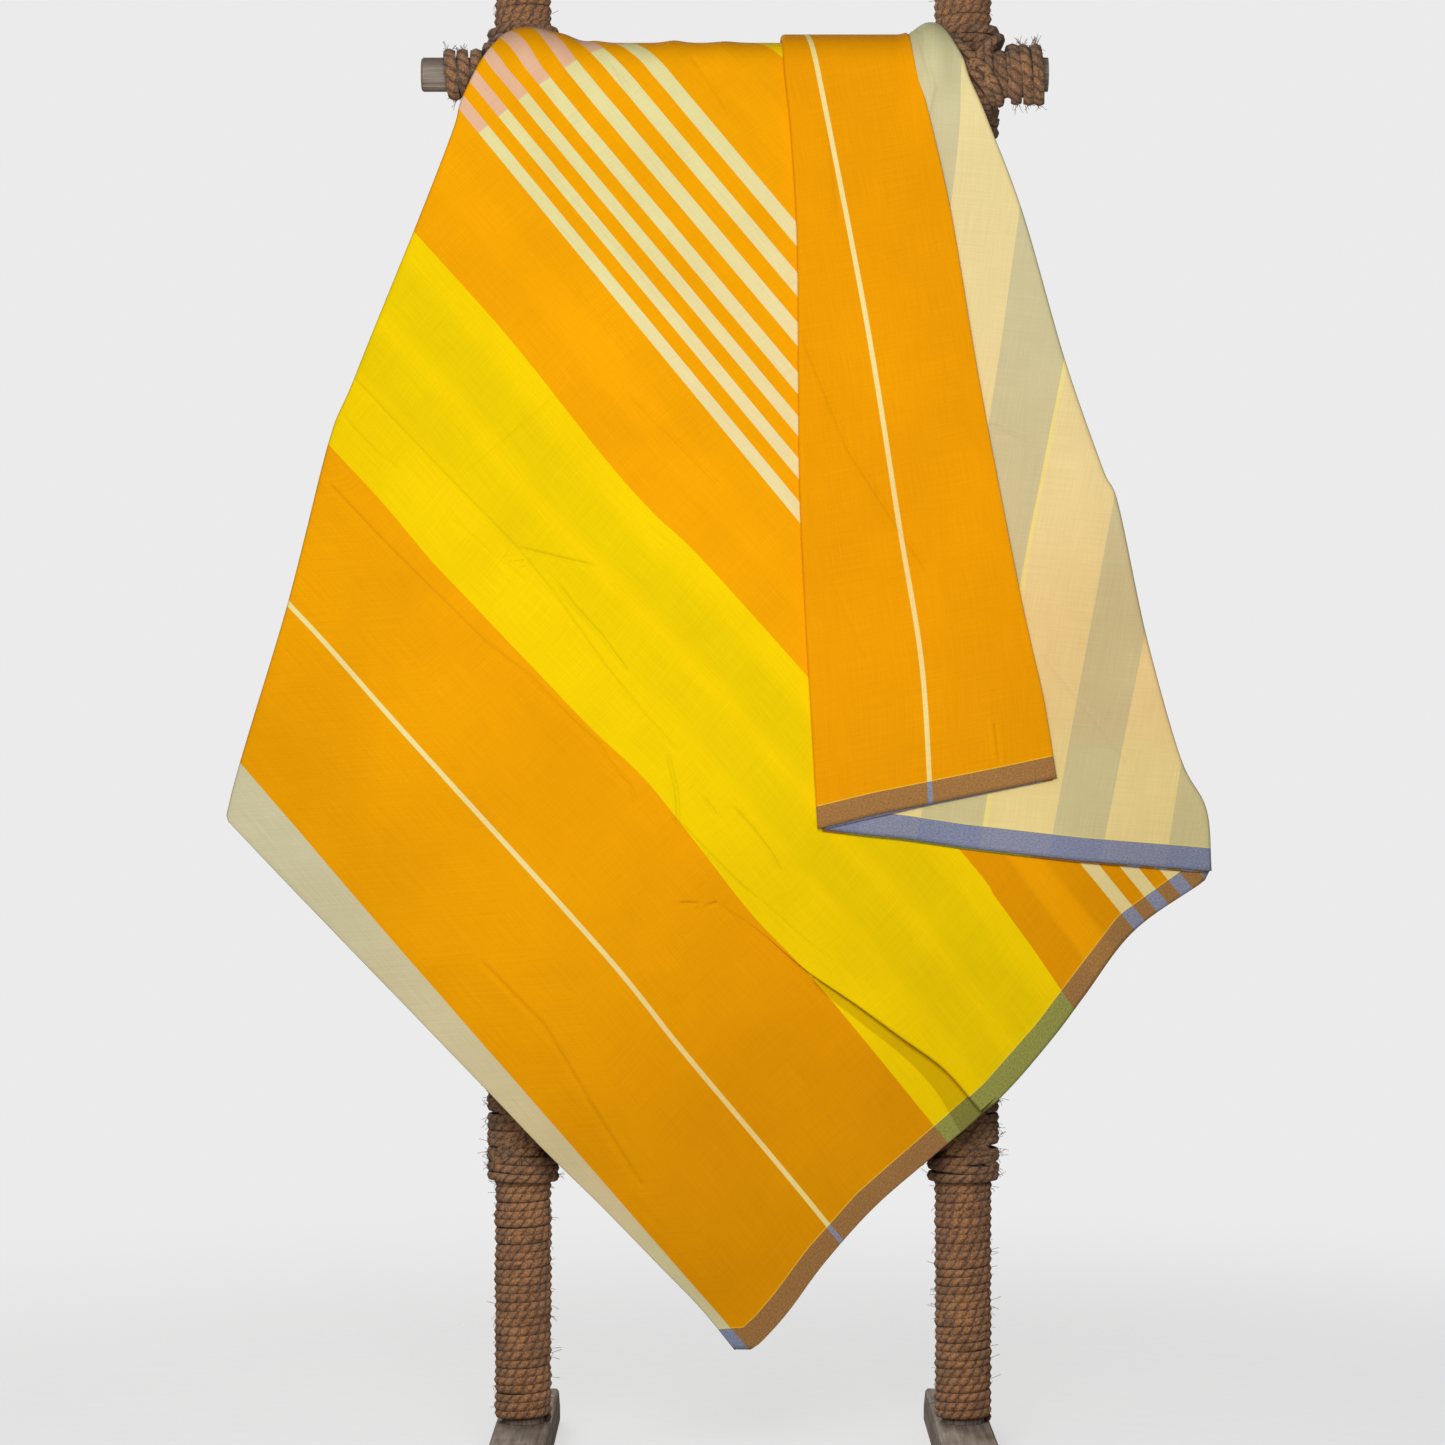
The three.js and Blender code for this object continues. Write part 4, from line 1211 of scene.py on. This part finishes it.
# The sarong: the pale panel
# The cream and greige stretch at the right. Its right edge is a fold that takes in the layers
# under it, and its hem is turned twice.
pale_stripes_lines = [
    (1240.2, [(89, 505), (160, 981), (170, 1108)]), (1287.0, [(135, 500), (190, 818), (215, 988)]),
    (1335.4, [(184, 495), (215, 694), (248, 865)]), (1389.2, [(238, 488), (287, 755)]),
    (1430.5, [(279, 485), (313, 657)]), (1481.2, [(330, 479), (342, 557)]),
    (1519.4, [(365, 477), (369, 494)]),
]
pale_creases = [
    (149, 1092, 146, 1175, 14, 6.5), (134, 1132, 148, 1084, 5, 1.6),
    (148, 1084, 140, 1050, 5, 1.4), (194, 822, 220, 811, 5, 0.9),
    (300, 560, 230, 640, 14, 0.9), (280, 700, 250, 860, 14, 0.9), (60, 1230, 55, 1440, 12, 1.6),
]
pale_pressed = (
    [([(134, 1132), (148, 1084), (140, 1050)], 2.0, 0.9), ([(194, 822), (220, 811)], 1.7, -0.9)],
    [([(236, 640), (300, 560)], 2.2, -0.4)],
)
pale_left = soft_line([(63, 507)] + [(x + 3, h) for x, h in flap_left_fold[1:]]
                      + past_rail(pale_layer, [(34, 1090), (30, 1000), (27, 900), (26, 800), (26, 737)]))
pale_right = soft_line([(364, 475), *right_fold[1:], (141, 1170)] + past_rail(pale_layer, [
    (137, 1090), (119, 1000), (99, 900), (85, 800), (77, 722)]))
pale_rows = rows_up(507, 3.6, pale_left[-1, 1] - 4, 7.0)
pale_panel = stretch_of_cloth(
    "sarong_pale_panel", pale_left, pale_right, pale_rows, 92, pale_layer, pale_stripes_lines,
    pale_hem, cotton, foot=pale_hem, creases=pale_creases, pressed_lines=pale_pressed,
    fold_right=lambda height: np.full_like(height, back_layer))
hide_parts("pale_panel", "right_fold", "drop_pale")

# The sarong: the flap and its lining
# The orange end of the cloth that hangs free in front of the rest, thrown over the rail last. It is
# folded double along both sides, so that another layer lines it, and its hem is turned twice.
flap_hem = [(60, 508), (105, 519), (150, 528), (200, 538), (243, 547)]
flap_right_fold = [(243, 547), (233, 608), (219, 670), (200, 764), (181, 865), (161, 986),
                   (144, 1062), (133, 1100), (127, 1147)]
flap_stripes = [(929.0, [(143, 525), (136, 635), (119, 741), (92, 908), (50, 1124)])]
flap_creases = [
    (48, 887, 82, 803, 6, -1.0), (82, 803, 120, 744, 6, -1.0), (120, 744, 141, 712, 5, -0.8),
    (196, 588, 199, 563, 5, 1.0), (60, 1080, 66, 960, 12, 0.9), (150, 700, 165, 560, 16, 0.9),
    (60, 1230, 45, 1520, 13, 1.6),
]
flap_pressed = (
    [([(48, 887), (82, 803), (120, 744), (141, 712)], 2.0, -0.8),
     ([(196, 588), (199, 563)], 1.7, -0.9), ([(66, 1060), (74, 985)], 2.2, -0.5)],
    [([(70, 700), (96, 640)], 2.2, -0.4)],
)
flap_left = soft_line(flap_left_fold + past_rail(flap_layer, [
    (30, 1090), (27, 1000), (24, 900), (21, 800), (18, 700), (17, 650)]))
flap_right = soft_line(flap_right_fold + past_rail(flap_layer, [
    (120, 1090), (104, 1000), (88, 900), (74, 800), (64, 700), (60, 634)]))
flap_rows = rows_up(508, 3.2, flap_left[-1, 1], 7.0)
flap = stretch_of_cloth(
    "sarong_flap", flap_left, flap_right, flap_rows, 64, flap_layer, flap_stripes, flap_hem,
    cotton, foot=flap_hem, creases=flap_creases, pressed_lines=flap_pressed,
    fold_left=lambda height: np.full_like(height, under_layer),
    fold_right=lambda height: np.full_like(height, flap_under_layer))
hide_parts("flap", "flap_left_fold", "flap_right_fold", "drop_flap")

lining_stripes = [(1028.0, [(243, 547), (219, 670), (181, 865), (133, 1100)])]
lining_foot = [(64, 507.5), (150, 527), (241, 545.5)]
lining_left = soft_line([(64, 507.5)] + [(x + 4, h) for x, h in flap_left_fold[1:]])
lining_right = soft_line([(241, 545.5)] + [(x - 1, h) for x, h in flap_right_fold[1:]])
lining = stretch_of_cloth(
    "sarong_flap_lining", lining_left, lining_right, np.arange(507.5, 1146, 7.0), 30,
    flap_under_layer, lining_stripes, lining_foot, cotton, foot=lining_foot, grows_right=False)
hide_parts("flap_under")
